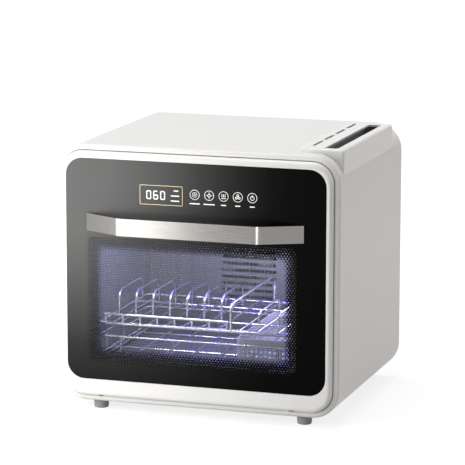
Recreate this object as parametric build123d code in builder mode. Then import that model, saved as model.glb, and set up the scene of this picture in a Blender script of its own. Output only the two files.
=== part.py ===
from build123d import *
from math import cos, pi, sin
import os

# Counter-top ultraviolet dish dryer, in millimetres.
# X runs to the right seen from the front, Y to the back, Z up. The origin is on the
# table under the middle of the whole object, handle included.
# Heights are counted from the underside of the shell and depths from the front lip.

# Shell
shell_width = 440.0
shell_height = 392.0
shell_depth = 355.0
shell_corner = 42.0
shell_wall = 2.4
shell_front_round = 5.0
shell_back_edge = 2.0
lip_width = 8.0
lip_depth = 4.0

# Feet
foot_height = 15.0
foot_radius = 12.0
foot_side_inset = 59.0
foot_end_inset = 25.0
foot_recess_radius = 5.5
foot_recess_depth = 6.0

# Fasteners
screw_radius = 2.0
screw_head_radius = 3.8
screw_head_height = 2.4
screw_length = 10.0
screw_bore_gap = 0.3
boss_radius = 5.0
boss_sink = 1.0
small_flats = 6

# Fits
seat_gap = 0.2
slide_gap = 0.3
door_gap = 1.0
pin_clearance = 0.05

# Door
door_proud = 9.0
door_depth = 14.0
door_edge_round = 7.0
glass_side_margin = 9.0
glass_top_margin = 10.5
glass_bottom_margin = 27.0
glass_corner = 26.0
glass_thickness = 4.0
glass_set_back = 0.4
door_web = 2.0
pocket_rim = 5.0
inner_panel_thickness = 1.0
inner_panel_edge = 4.0
inner_panel_lift = 15.0
inner_glass_thickness = 3.0
inner_glass_overlap = 6.0
gasket_width = 8.0
gasket_edge = 12.0
frame_standoff = 12.0
door_boss_radius = 4.0
door_boss_inset = 16.0
door_boss_drop = 24.0
door_screw_gap = 1.0

# Door hinge
pivot_above_edge = 7.5
pivot_behind_face = 7.0
hinge_inset = 70.0
hinge_ear_width = 8.0
hinge_ear_radius = 5.0
hinge_pin_radius = 2.5
hinge_pin_reach = 10.0
hinge_plate_width = 32.0
hinge_plate_thickness = 2.0
hinge_plate_height = 16.0

# Handle
handle_drop = 128.0
handle_tall = 26.0
handle_thickness = 3.0
handle_standoff = 33.0
handle_half_span = 167.5
handle_foot_length = 14.0
handle_front_half = 106.0
handle_bend = 24.0
handle_foot_sink = 1.0
handle_screw_pitch = 13.0
handle_screw_inset = 6.5

# Display and touch keys behind the glass
keys_left = -95.0
keys_right = 100.0
keys_drop = 92.0
keys_tall = 45.0
board_thickness = 1.6
display_left = -86.0
display_right = -24.0
display_rise = 9.0
display_tall = 23.0
display_depth = 5.4
keys_cover_wall = 1.5
keys_cover_depth = 7.0
keys_cover_edge = 3.0

# Latches and door switch
latch_inset = 70.0
latch_drop = 32.0
latch_width = 18.0
latch_tall = 26.0
strike_thickness = 1.0
switch_x = 60.0
plunger_radius = 2.5
plunger_length = 18.0
switch_width = 14.0
switch_depth = 18.0

# Cavity
cavity_left_inset = 44.0
cavity_right_inset = 65.0
cavity_floor = 40.0
cavity_roof_drop = 134.0
cavity_back_gap = 79.0
cavity_corner = 8.0
liner_wall = 1.0
front_frame_thickness = 2.0
window_side_inset = 6.0
window_floor_rise = 26.0
window_roof_inset = 6.0
window_corner = 12.0
cradle_width = 20.0
cradle_wall = 1.5
cradle_end_inset = 20.0

# Raised slot housing and storage well on the right
housing_width = 74.0
housing_side_inset = 1.5
housing_front = 23.0
housing_back_gap = 53.0
housing_rise = 6.5
housing_wall = 3.0
housing_front_round = 28.0
housing_back_round = 10.0
housing_side_round = 4.0
housing_top_round = 4.5
wide_slot_inset = 34.0
wide_slot_width = 20.0
wide_slot_front = 34.0
wide_slot_end_gap = 20.0
blade_slot_inset = 56.0
blade_slot_width = 5.0
blade_slot_length = 48.0
blade_slot_front = 76.0
blade_slot_end_gap = 43.0
blade_slot_count = 4
well_wall = 2.0
well_floor = 70.0
well_left_gap = 1.5
well_right_inset = 7.0
well_end_inset = 7.0
well_divider_inset = 45.0
well_flange = 1.5
well_corner = 8.0
drain_slot_length = 30.0
drain_slot_width = 5.0

# Wire racks
wire_flats = 6
bend_flats = 2
rack_front = 28.0
rack_back_gap = 28.0
rack_side_gap = 4.5
rack_bend = 12.0
frame_wire = 2.5
cross_wire = 2.0
floor_wire = 1.5
weld_depth = 0.5
upper_rack_height = 112.0
fence_rise = 14.5
hoop_front = 100.0
hoop_back = 205.0
hoop_rise = 40.0
hoop_bend = 16.0
hoop_count = 7
divider_share = 0.657
divider_gap = 6.3
divider_rise = 43.0
bowl_hoop_left_gap = 26.0
bowl_hoop_right_gap = 20.5
bowl_hoop_count = 3
bowl_hoop_rise = 20.0
bowl_hoop_bend = 8.0
lower_rack_height = 62.0
lower_floor_pitch = 40.0
rim_rise = 30.0
rim_post_pitch = 90.0
rail_width = 9.0
rail_thickness = 1.5
rail_lip = 5.0

# Basket and drip tray
basket_divider_gap = 6.0
basket_tall = 36.0
basket_wall = 1.5
basket_inset = 4.5
basket_corner = 8.0
basket_slot_width = 5.0
basket_slot_pitch = 26.0
basket_slot_margin = 7.0
tray_tall = 11.0
tray_wall = 1.0
tray_corner = 6.0
tray_end_gap = 5.0

# Warm-air unit behind the cavity
fan_size = 100.0
fan_depth = 25.0
fan_bore = 46.0
fan_bore_sink = 1.0
fan_hub_radius = 19.0
fan_hub_wall = 2.0
fan_hub_depth = 16.0
fan_motor_radius = 15.0
fan_motor_depth = 15.0
fan_shaft_radius = 2.0
fan_shaft_length = 12.0
fan_blade_count = 7
fan_blade_root = 13.0
fan_blade_tip = 20.0
fan_blade_thickness = 1.6
fan_blade_root_pitch = 45.0
fan_blade_tip_pitch = 28.0
fan_tip_gap = 2.5
fan_strut_width = 7.0
fan_strut_depth = 3.0
duct_wall = 1.5
duct_gap = 0.5
duct_flange = 10.0
duct_end_gap = 1.0
heater_depth = 20.0
heater_rail = 6.0
heater_fin = 1.0
heater_fin_pitch = 6.5
heater_gap = 2.0
grille_half = 58.0
grille_corner = 10.0
grille_thickness = 1.2
grille_slot_width = 5.0
grille_slot_pitch = 11.0
grille_margin = 10.0

# Lamps under the cavity roof
lamp_radius = 4.0
lamp_length = 220.0
lamp_front = 125.0
lamp_pitch = 70.0
lamp_drop = 9.0
lamp_holder_length = 12.0
lamp_holder_width = 16.0
guard_thickness = 1.0
guard_drop = 18.0
guard_slot_width = 8.0
guard_slot_pitch = 16.0

# Power board above the cavity
power_x = -20.0
power_front = 70.0
power_width = 120.0
power_length = 90.0
standoff_height = 8.0
standoff_radius = 3.0
power_corner = 2.0
transformer_inset = 15.0
transformer_length = 35.0
transformer_width = 34.0
transformer_tall = 24.0
relay_inset = 20.0
relay_length = 20.0
relay_width = 16.0
relay_tall = 16.0
relay_pitch = 20.0
relay_margin = 25.0
capacitor_shift = 5.0
capacitor_margin = 30.0
capacitor_radius = 7.0
capacitor_tall = 26.0
capacitor_flats = 12

# Back panel and inlet
back_recess = 4.0
back_thickness = 2.0
vent_width = 92.0
vent_slot = 4.0
vent_pitch = 10.0
vent_rows = 10
upper_vent_drop = 62.0
upper_vent_rows = 4
back_boss_length = 12.0
back_boss_side_low = 96.0
back_boss_side_drop = 102.0
back_boss_top_x = 110.0
inlet_side_inset = 55.0
inlet_height = 60.0
inlet_width = 27.0
inlet_tall = 20.0
inlet_depth = 24.0
inlet_flange_width = 48.0
inlet_flange_thickness = 2.5
inlet_recess_depth = 16.0
inlet_wall = 2.0
inlet_corner = 3.0
inlet_screw_margin = 1.0
inlet_screw_reach = 3.0
inlet_pin_pitch = 7.0
inlet_pin_rise = 2.0
inlet_pin_width = 4.0
inlet_pin_thickness = 2.0

# Places that follow from the sizes above
half_width = shell_width / 2
handle_height_low = shell_height - handle_drop
keys_low = shell_height - keys_drop
keys_high = keys_low + keys_tall
display_low = keys_low + display_rise
display_high = display_low + display_tall
latch_height = shell_height - latch_drop
cavity_left = cavity_left_inset - half_width
cavity_right = half_width - cavity_right_inset
cavity_roof = shell_height - cavity_roof_drop
cavity_depth = shell_depth - cavity_back_gap
window_low = cavity_floor + window_floor_rise
window_high = cavity_roof - window_roof_inset
housing_back = shell_depth - housing_back_gap
fan_x = (cavity_left + cavity_right) / 2
fan_height = (cavity_floor + cavity_roof) / 2
inlet_x = inlet_side_inset - half_width
overall_depth = door_proud - glass_set_back + handle_standoff + shell_depth
lip_y = overall_depth / 2 - shell_depth
shell_low = foot_height
shell_high = foot_height + shell_height


def behind(distance):
    """The y of a plane this far behind the front lip."""
    return lip_y + distance


def above(height):
    """The z of a level this far above the underside of the shell."""
    return shell_low + height


def facing(y):
    """A plane seen from the front: drawn in x and z, and looking towards the front."""
    return Plane(origin=(0, y, 0), x_dir=(1, 0, 0), z_dir=(0, -1, 0))


def middle(span):
    """The middle of a pair of limits."""
    return (span[0] + span[1]) / 2


def inset(span, amount):
    """A pair of limits drawn in by the same amount at both ends."""
    return (span[0] + amount, span[1] - amount)


def spread(first, last, count):
    """This many places, evenly from the first limit to the last."""
    return [first + (last - first) * index / (count - 1) for index in range(count)]


def floor_places(first, last, pitch):
    """Even places from the first limit to the last, at about the pitch."""
    return spread(first, last, max(1, round((last - first) / pitch)) + 1)


def front_slab(x_span, z_span, y_span, corner=0.0, mode=Mode.ADD):
    """A slab whose corners are rounded as seen from the front."""
    width = x_span[1] - x_span[0]
    height = z_span[1] - z_span[0]
    with BuildSketch(facing(y_span[1])) as outline:
        with Locations((middle(x_span), middle(z_span))):
            if corner > 0:
                RectangleRounded(width, height, corner)
            else:
                Rectangle(width, height)
    extrude(outline.sketch, amount=y_span[1] - y_span[0], mode=mode)


def flat_slab(x_span, y_span, z_span, corner=0.0, mode=Mode.ADD):
    """A slab whose corners are rounded as seen from above."""
    width = x_span[1] - x_span[0]
    depth = y_span[1] - y_span[0]
    with BuildSketch(Plane.XY.offset(z_span[0])) as outline:
        with Locations((middle(x_span), middle(y_span))):
            if corner > 0:
                RectangleRounded(width, depth, corner)
            else:
                Rectangle(width, depth)
    extrude(outline.sketch, amount=z_span[1] - z_span[0], mode=mode)


def rod_end(plane, place, radius, flats):
    """The end of a rod: a circle, or a few flats that stand for one on small rods."""
    with BuildSketch(plane) as end:
        with Locations(place):
            if flats > 0:
                RegularPolygon(radius, flats)
            else:
                Circle(radius)
    return end


def rod_along_x(x_span, y, z, radius, mode=Mode.ADD, flats=0):
    """A rod that runs from side to side."""
    end = rod_end(Plane.YZ.offset(x_span[0]), (y, z), radius, flats)
    extrude(end.sketch, amount=x_span[1] - x_span[0], mode=mode)


def rod_along_y(x, y_span, z, radius, mode=Mode.ADD, flats=0):
    """A rod that runs from front to back."""
    end = rod_end(facing(y_span[1]), (x, z), radius, flats)
    extrude(end.sketch, amount=y_span[1] - y_span[0], mode=mode)


def rod_along_z(x, y, z_span, radius, mode=Mode.ADD, flats=0):
    """A rod that stands upright."""
    end = rod_end(Plane.XY.offset(z_span[0]), (x, y), radius, flats)
    extrude(end.sketch, amount=z_span[1] - z_span[0], mode=mode)


def small_rod_y(x, y_span, z, radius, mode=Mode.ADD):
    """A screw, bore or boss from front to back, with a few flats for a circle."""
    rod_along_y(x, y_span, z, radius, mode, small_flats)


def small_rod_z(x, y, z_span, radius, mode=Mode.ADD):
    """An upright screw, bore or boss, with a few flats for a circle."""
    rod_along_z(x, y, z_span, radius, mode, small_flats)


def bend_points(centre, radius, start_angle, turn):
    """Points round a wire's bend, in its own plane, one flat after another."""
    return [
        (
            centre[0] + radius * cos(start_angle + turn * step / bend_flats),
            centre[1] + radius * sin(start_angle + turn * step / bend_flats),
        )
        for step in range(bend_flats + 1)
    ]


def wire_along(points, across, radius, closed=False):
    """A wire of a few flats along straight runs in one plane, mitred where they meet."""
    with BuildLine() as route:
        Polyline(*points, close=closed)
    start = Plane(origin=route.line @ 0, x_dir=across, z_dir=route.line % 0)
    end = rod_end(start, (0, 0), radius, wire_flats)
    sweep(end.sketch, path=route.line, transition=Transition.RIGHT)


def hoop(x, y_span, foot_z, top_z, bend, radius):
    """A wire hoop that stands on two feet, in a plane from front to back."""
    low_y, high_y = y_span
    arch = bend_points((low_y + bend, top_z - bend), bend, pi, -pi / 2)
    arch += bend_points((high_y - bend, top_z - bend), bend, pi / 2, -pi / 2)
    flat_route = [(low_y, foot_z)] + arch + [(high_y, foot_z)]
    wire_along([(x, y, z) for y, z in flat_route], (1, 0, 0), radius)


def wire_ring(x_span, y_span, z, bend, radius):
    """A closed ring of wire with rounded corners, lying level."""
    low_x, high_x = inset(x_span, bend)
    low_y, high_y = inset(y_span, bend)
    corners = ((high_x, low_y), (high_x, high_y), (low_x, high_y), (low_x, low_y))
    route = [(middle(x_span), y_span[0])]
    for turn, corner in enumerate(corners):
        route += bend_points(corner, bend, (turn - 1) * pi / 2, pi / 2)
    wire_along([(x, y, z) for x, y in route], (0, 0, 1), radius, closed=True)


def screw_along_y(x, z, head_y, tip_y):
    """A pan-head screw whose head stands off head_y, away from its tip."""
    towards = 1 if tip_y > head_y else -1
    head_end = head_y - towards * screw_head_height
    small_rod_y(x, sorted((head_end, head_y)), z, screw_head_radius)
    small_rod_y(x, sorted((head_y, tip_y)), z, screw_radius)


# Outer shell: one wrap-around moulding with a turned-in lip round the front
shell_x = (-half_width, half_width)
shell_z = (shell_low, shell_high)
shell_y = (behind(0), behind(shell_depth))
shell_inner_corner = shell_corner - shell_wall
foot_places = [
    (side * (half_width - foot_side_inset), y)
    for side in (-1, 1)
    for y in (behind(foot_end_inset), behind(shell_depth - foot_end_inset))
]
foot_boss_top = shell_low + shell_wall + screw_length / 2
well_x = (cavity_right + liner_wall + well_left_gap, half_width - well_right_inset)
well_y = (behind(housing_front + well_end_inset), behind(housing_back - well_end_inset))
back_face = behind(shell_depth - back_recess)
back_front = back_face - back_thickness
boss_offset = shell_wall + boss_radius - boss_sink
back_boss_places = (
    [
        (side * (half_width - boss_offset), above(height))
        for side in (-1, 1)
        for height in (back_boss_side_low, shell_height - back_boss_side_drop)
    ]
    + [(x, shell_high - boss_offset) for x in (-back_boss_top_x, back_boss_top_x)]
    + [(x, shell_low + boss_offset) for x in (-back_boss_top_x, back_boss_top_x)]
)

with BuildPart() as outer_shell:
    front_slab(shell_x, shell_z, shell_y, shell_corner)
    fillet(outer_shell.faces().sort_by(Axis.Y)[0].edges(), radius=shell_front_round)
    chamfer(outer_shell.faces().sort_by(Axis.Y)[-1].edges(), length=shell_back_edge)
    front_slab(
        inset(shell_x, shell_wall),
        inset(shell_z, shell_wall),
        (behind(lip_depth), behind(shell_depth)),
        shell_inner_corner,
        Mode.SUBTRACT,
    )
    front_slab(
        inset(shell_x, lip_width),
        inset(shell_z, lip_width),
        (behind(0), behind(lip_depth)),
        shell_corner - lip_width,
        Mode.SUBTRACT,
    )
    for boss_x, boss_z in back_boss_places:
        small_rod_y(boss_x, (back_front - back_boss_length, back_front), boss_z, boss_radius)
        small_rod_y(
            boss_x, (back_front - screw_length, back_front), boss_z, screw_radius, Mode.SUBTRACT
        )
    for foot_x, foot_y in foot_places:
        small_rod_z(foot_x, foot_y, (shell_low + shell_wall, foot_boss_top), boss_radius)
        small_rod_z(foot_x, foot_y, (shell_low, foot_boss_top), screw_radius, Mode.SUBTRACT)
    flat_slab(
        (well_x[0] - seat_gap, well_x[1] + seat_gap),
        (well_y[0] - seat_gap, well_y[1] + seat_gap),
        (shell_high - shell_corner, shell_high),
        well_corner + seat_gap,
        Mode.SUBTRACT,
    )

# Feet and their screws
with BuildPart() as feet:
    for foot_x, foot_y in foot_places:
        rod_along_z(foot_x, foot_y, (0, foot_height), foot_radius)
        small_rod_z(
            foot_x, foot_y, (0, foot_recess_depth), foot_recess_radius, Mode.SUBTRACT
        )
        small_rod_z(
            foot_x, foot_y, (0, foot_height), screw_radius + screw_bore_gap, Mode.SUBTRACT
        )

with BuildPart() as foot_screws:
    for foot_x, foot_y in foot_places:
        small_rod_z(
            foot_x,
            foot_y,
            (foot_recess_depth - screw_head_height, foot_recess_depth),
            screw_head_radius,
        )
        small_rod_z(foot_x, foot_y, (foot_recess_depth, foot_boss_top), screw_radius)

# Front frame: the face behind the door, with a rim that bears on the back of the lip
frame_back = behind(frame_standoff + front_frame_thickness)
frame_x = inset(shell_x, shell_wall + seat_gap)
frame_z = inset(shell_z, shell_wall + seat_gap)
frame_corner = shell_inner_corner - seat_gap
cavity_x = (cavity_left, cavity_right)
cavity_z = (above(cavity_floor), above(cavity_roof))
cavity_y = (frame_back, frame_back + cavity_depth)
pivot_y = behind(pivot_behind_face - door_proud)
pivot_z = above(lip_width + door_gap + pivot_above_edge)
hinge_places = [side * (half_width - hinge_inset) for side in (-1, 1)]
latch_places = [side * (half_width - latch_inset) for side in (-1, 1)]
hinge_screw_z = pivot_z + hinge_ear_radius / 2
hinge_screw_places = [
    (x + side * (hinge_plate_width / 2 - boss_radius), hinge_screw_z)
    for x in hinge_places
    for side in (-1, 1)
]
hinge_screw_tip = frame_back + screw_length / 2

with BuildPart() as front_frame:
    front_slab(frame_x, frame_z, (behind(lip_depth), frame_back), frame_corner)
    front_slab(
        inset(frame_x, front_frame_thickness),
        inset(frame_z, front_frame_thickness),
        (behind(lip_depth), behind(frame_standoff)),
        frame_corner - front_frame_thickness,
        Mode.SUBTRACT,
    )
    front_slab(
        cavity_x, cavity_z, (behind(frame_standoff), frame_back), cavity_corner, Mode.SUBTRACT
    )
    for screw_x, screw_z in hinge_screw_places:
        small_rod_y(
            screw_x, (behind(frame_standoff), frame_back), screw_z, screw_radius, Mode.SUBTRACT
        )
    small_rod_y(
        switch_x,
        (behind(frame_standoff), frame_back),
        above(latch_height),
        plunger_radius + door_gap,
        Mode.SUBTRACT,
    )

# Cavity liner: a pressed box, open at the front
liner_y = (cavity_y[0], cavity_y[1] + liner_wall)
liner_x = (cavity_left - liner_wall, cavity_right + liner_wall)
liner_z = (cavity_z[0] - liner_wall, cavity_z[1] + liner_wall)
fan_z = above(fan_height)
lamp_places = [behind(lamp_front + step * lamp_pitch) for step in (0, 1)]

with BuildPart() as inner_liner:
    front_slab(liner_x, liner_z, liner_y, cavity_corner + liner_wall)
    front_slab(cavity_x, cavity_z, cavity_y, cavity_corner, Mode.SUBTRACT)
    front_slab(
        (fan_x - fan_bore, fan_x + fan_bore),
        (fan_z - fan_bore, fan_z + fan_bore),
        (cavity_y[1], liner_y[1]),
        0.0,
        Mode.SUBTRACT,
    )

# Two channels that carry the liner above the bottom of the shell
cradle_z = (shell_low + shell_wall, liner_z[0])
cradle_y = inset(liner_y, cradle_end_inset)
cradle_places = [middle(liner_x) + side * (liner_x[1] - liner_x[0]) / 3 for side in (-1, 1)]

with BuildPart() as liner_cradle:
    for cradle_x in cradle_places:
        channel_x = (cradle_x - cradle_width / 2, cradle_x + cradle_width / 2)
        front_slab(channel_x, cradle_z, cradle_y)
        front_slab(
            inset(channel_x, cradle_wall),
            (cradle_z[0], cradle_z[1] - cradle_wall),
            cradle_y,
            0.0,
            Mode.SUBTRACT,
        )

# Raised housing on the top right, with one wide slot and a row of blade slots
housing_x = (half_width - housing_width, half_width - housing_side_inset)
housing_y = (behind(housing_front), behind(housing_back))
housing_top = shell_high + housing_rise
wide_slot_x = (half_width - wide_slot_inset, half_width - wide_slot_inset + wide_slot_width)
wide_slot_y = (behind(wide_slot_front), behind(housing_back - wide_slot_end_gap))
blade_slot_x = half_width - blade_slot_inset
blade_slot_ys = spread(
    behind(blade_slot_front), behind(housing_back - blade_slot_end_gap), blade_slot_count
)

with BuildPart() as slot_housing:
    with BuildSketch(Plane.XY.offset(shell_high - shell_corner)) as housing_plan:
        with BuildLine():
            FilletPolyline(
                (housing_x[0], housing_y[0]),
                (housing_x[1], housing_y[0]),
                (housing_x[1], housing_y[1]),
                (housing_x[0], housing_y[1]),
                radius=(
                    housing_front_round,
                    housing_side_round,
                    housing_side_round,
                    housing_back_round,
                ),
                close=True,
            )
        make_face()
    extrude(amount=housing_top - (shell_high - shell_corner))
    fillet(slot_housing.faces().sort_by(Axis.Z)[-1].edges(), radius=housing_top_round)
    with BuildSketch(Plane.XY.offset(shell_high - shell_corner)) as housing_hollow:
        add(housing_plan.sketch)
        offset(amount=-housing_wall)
    extrude(
        amount=housing_top - housing_wall - (shell_high - shell_corner), mode=Mode.SUBTRACT
    )
    front_slab(shell_x, shell_z, shell_y, shell_corner, Mode.SUBTRACT)
    flat_slab(
        wide_slot_x,
        wide_slot_y,
        (shell_high, housing_top),
        housing_wall,
        Mode.SUBTRACT,
    )
    for slot_y in blade_slot_ys:
        flat_slab(
            (blade_slot_x - blade_slot_width / 2, blade_slot_x + blade_slot_width / 2),
            (slot_y - blade_slot_length / 2, slot_y + blade_slot_length / 2),
            (shell_high, housing_top),
            0.0,
            Mode.SUBTRACT,
        )

# Storage well: a deep box hung from its flange, with a divider between the slots
well_z = (above(well_floor), shell_high)
flange_z = (shell_high, shell_high + well_flange)
well_divider_x = half_width - well_divider_inset
divider_span = (well_divider_x, well_divider_x + well_wall)

with BuildPart() as storage_well:
    flat_slab(well_x, well_y, (well_z[0], flange_z[1]), well_corner)
    with BuildSketch(Plane.XY.offset(flange_z[0])):
        add(housing_plan.sketch)
        offset(amount=-housing_wall - seat_gap)
        with Locations((well_x[1], middle(housing_y))):
            Rectangle(
                shell_corner,
                shell_depth,
                align=(Align.MIN, Align.CENTER),
                mode=Mode.SUBTRACT,
            )
    extrude(amount=well_flange)
    flat_slab(
        (well_x[0] + well_wall, divider_span[0]),
        inset(well_y, well_wall),
        (well_z[0] + well_wall, flange_z[1]),
        0.0,
        Mode.SUBTRACT,
    )
    flat_slab(
        (divider_span[1], well_x[1] - well_wall),
        inset(well_y, well_wall),
        (well_z[0] + well_wall, flange_z[1]),
        0.0,
        Mode.SUBTRACT,
    )
    for drain_x in (
        middle((well_x[0] + well_wall, divider_span[0])),
        middle((divider_span[1], well_x[1] - well_wall)),
    ):
        for drain_y in blade_slot_ys:
            with BuildSketch(Plane.XY.offset(well_z[0])):
                with Locations((drain_x, drain_y)):
                    Rectangle(drain_slot_width, drain_slot_length)
            extrude(amount=well_wall, mode=Mode.SUBTRACT)

# Door frame: a moulded surround with a pocket for the glass and a web behind it
door_x = inset(shell_x, lip_width + door_gap)
door_z = inset(shell_z, lip_width + door_gap)
door_front = behind(-door_proud)
door_back = door_front + door_depth
door_corner = shell_corner - lip_width - door_gap
glass_x = inset(door_x, glass_side_margin)
glass_z = (door_z[0] + glass_bottom_margin, door_z[1] - glass_top_margin)
glass_front = door_front + glass_set_back
glass_back = glass_front + glass_thickness
web_back = glass_back + door_web
pocket_x = inset(door_x, pocket_rim)
pocket_z = (glass_z[0], door_z[1] - pocket_rim)
window_x = inset((cavity_left, cavity_right), window_side_inset)
window_z = (above(window_low), above(window_high))
keys_x = (keys_left, keys_right)
keys_z = (above(keys_low), above(keys_high))
inner_panel_x = inset(door_x, inner_panel_edge)
inner_panel_z = (door_z[0] + inner_panel_lift, door_z[1] - inner_panel_edge)
inner_panel_back = door_back + inner_panel_thickness
door_boss_places = [
    (side * (door_x[1] - door_boss_inset), z)
    for side in (-1, 1)
    for z in (window_z[0], window_z[1], door_z[1] - door_boss_drop)
]
handle_z = (above(handle_height_low), above(handle_height_low) + handle_tall)
handle_screw_places = [
    (side * (handle_half_span - handle_screw_inset), middle(handle_z) + step)
    for side in (-1, 1)
    for step in (-handle_screw_pitch / 2, handle_screw_pitch / 2)
]
notch_half = hinge_ear_width / 2 + slide_gap
notch_clear = hinge_ear_radius + slide_gap

with BuildPart() as door_frame:
    front_slab(door_x, door_z, (door_front, door_back), door_corner)
    fillet(door_frame.faces().sort_by(Axis.Y)[0].edges(), radius=door_edge_round)
    front_slab(
        (glass_x[0] - seat_gap, glass_x[1] + seat_gap),
        (glass_z[0] - seat_gap, glass_z[1] + seat_gap),
        (door_front, glass_back),
        glass_corner + seat_gap,
        Mode.SUBTRACT,
    )
    front_slab(
        pocket_x, pocket_z, (web_back, door_back), door_corner - pocket_rim, Mode.SUBTRACT
    )
    for boss_x, boss_z in door_boss_places:
        small_rod_y(boss_x, (web_back, door_back), boss_z, door_boss_radius)
        small_rod_y(boss_x, (web_back, door_back), boss_z, screw_radius, Mode.SUBTRACT)
    front_slab(window_x, window_z, (glass_back, web_back), window_corner, Mode.SUBTRACT)
    front_slab(keys_x, keys_z, (glass_back, web_back), 0.0, Mode.SUBTRACT)
    for screw_x, screw_z in handle_screw_places:
        small_rod_y(
            screw_x, (glass_back, web_back), screw_z, screw_radius + screw_bore_gap, Mode.SUBTRACT
        )
    for hinge_x in hinge_places:
        front_slab(
            (hinge_x - notch_half, hinge_x + notch_half),
            (door_z[0], pivot_z + notch_clear),
            (pivot_y - notch_clear, door_back),
            0.0,
            Mode.SUBTRACT,
        )
        rod_along_x(
            (
                hinge_x - notch_half - hinge_pin_reach,
                hinge_x + notch_half + hinge_pin_reach,
            ),
            pivot_y,
            pivot_z,
            hinge_pin_radius + pin_clearance,
            Mode.SUBTRACT,
        )

# Front glass
with BuildPart() as front_glass:
    front_slab(glass_x, glass_z, (glass_front, glass_back), glass_corner)
    for screw_x, screw_z in handle_screw_places:
        small_rod_y(
            screw_x,
            (glass_front, glass_back),
            screw_z,
            screw_radius + screw_bore_gap,
            Mode.SUBTRACT,
        )

# Inner panel that closes the back of the door, and its pane
with BuildPart() as door_inner_panel:
    front_slab(
        inner_panel_x,
        inner_panel_z,
        (door_back, inner_panel_back),
        door_corner - inner_panel_edge,
    )
    front_slab(
        window_x, window_z, (door_back, inner_panel_back), window_corner, Mode.SUBTRACT
    )
    for boss_x, boss_z in door_boss_places:
        small_rod_y(
            boss_x,
            (door_back, inner_panel_back),
            boss_z,
            screw_radius + screw_bore_gap,
            Mode.SUBTRACT,
        )

with BuildPart() as door_screws:
    for boss_x, boss_z in door_boss_places:
        screw_along_y(boss_x, boss_z, inner_panel_back, web_back + door_screw_gap)

with BuildPart() as inner_window:
    front_slab(
        inset(window_x, -inner_glass_overlap),
        inset(window_z, -inner_glass_overlap),
        (door_back - seat_gap - inner_glass_thickness, door_back - seat_gap),
        window_corner + inner_glass_overlap,
    )

# Seal round the cavity mouth
gasket_x = inset(cavity_x, -gasket_edge)
gasket_z = inset(cavity_z, -gasket_edge)

with BuildPart() as door_gasket:
    front_slab(
        gasket_x,
        gasket_z,
        (inner_panel_back, behind(frame_standoff) - slide_gap),
        cavity_corner + gasket_edge,
    )
    front_slab(
        inset(gasket_x, gasket_width),
        inset(gasket_z, gasket_width),
        (inner_panel_back, behind(frame_standoff) - slide_gap),
        cavity_corner + gasket_edge - gasket_width,
        Mode.SUBTRACT,
    )

# Handle: one bent flat bar that stands off the glass on a wedge at each end
handle_front = glass_front - handle_standoff
handle_back = handle_front + handle_thickness
foot_inner_x = handle_half_span - handle_foot_length
foot_slope = (handle_standoff - handle_thickness) / (handle_half_span - handle_front_half)
foot_top = glass_front - handle_foot_length * foot_slope - handle_foot_sink

with BuildPart() as handle_bar:
    with BuildSketch(Plane.XY.offset(handle_z[0])) as handle_plan:
        with BuildLine():
            handle_run = FilletPolyline(
                (-handle_half_span, glass_front),
                (-handle_front_half, handle_back),
                (handle_front_half, handle_back),
                (handle_half_span, glass_front),
                radius=handle_bend,
            )
            offset(handle_run, amount=handle_thickness, side=Side.RIGHT)
        make_face()
        for side in (-1, 1):
            with BuildLine():
                Polyline(
                    (side * handle_half_span, glass_front),
                    (side * foot_inner_x, glass_front),
                    (side * foot_inner_x, foot_top),
                    (side * handle_half_span, glass_front - handle_foot_sink),
                    close=True,
                )
            make_face()
    extrude(amount=handle_tall)
    for screw_x, screw_z in handle_screw_places:
        small_rod_y(
            screw_x,
            (glass_front - handle_thickness / 2, glass_front),
            screw_z,
            screw_radius,
            Mode.SUBTRACT,
        )

with BuildPart() as handle_screws:
    for screw_x, screw_z in handle_screw_places:
        screw_along_y(screw_x, screw_z, web_back, glass_front - handle_thickness / 2)

# Touch board, display and their cover, in the door behind the glass
board_front = glass_back + seat_gap
board_back = board_front + board_thickness
display_x = (display_left, display_right)
display_z = (above(display_low), above(display_high))
cover_back = web_back + keys_cover_depth

with BuildPart() as touch_board:
    front_slab(
        inset(keys_x, keys_cover_edge), inset(keys_z, keys_cover_edge), (board_front, board_back)
    )
    front_slab(
        inset(display_x, -seat_gap),
        inset(display_z, -seat_gap),
        (board_front, board_back),
        0.0,
        Mode.SUBTRACT,
    )

with BuildPart() as display_module:
    front_slab(display_x, display_z, (board_front, board_front + display_depth))
    front_slab(
        inset(display_x, keys_cover_wall),
        inset(display_z, keys_cover_wall),
        (board_front, board_front + board_thickness / 2),
        0.0,
        Mode.SUBTRACT,
    )

with BuildPart() as keys_cover:
    cover_x = inset(keys_x, -keys_cover_edge)
    cover_z = inset(keys_z, -keys_cover_edge)
    cover_inner_back = cover_back - keys_cover_wall
    front_slab(cover_x, cover_z, (web_back, cover_back))
    front_slab(
        inset(cover_x, keys_cover_wall),
        inset(cover_z, keys_cover_wall),
        (web_back, cover_inner_back),
        0.0,
        Mode.SUBTRACT,
    )
    for post_x in inset(keys_x, 2 * keys_cover_edge):
        for post_z in inset(keys_z, 2 * keys_cover_edge):
            small_rod_y(post_x, (board_back, cover_inner_back), post_z, keys_cover_edge / 2)
    front_slab(
        inset(display_x, boss_radius),
        inset(display_z, boss_radius),
        (board_front + display_depth, cover_inner_back),
    )

# Magnetic latches: a magnet block on the frame and a strike on the door
strike_back = inner_panel_back + strike_thickness
latch_z = (above(latch_height) - latch_tall / 2, above(latch_height) + latch_tall / 2)

with BuildPart() as strike_plates:
    for latch_x in latch_places:
        front_slab(
            (latch_x - latch_width / 2, latch_x + latch_width / 2),
            latch_z,
            (inner_panel_back, strike_back),
        )

with BuildPart() as latch_magnets:
    for latch_x in latch_places:
        front_slab(
            (latch_x - latch_width / 2, latch_x + latch_width / 2),
            latch_z,
            (strike_back + slide_gap, behind(frame_standoff)),
        )

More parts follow.
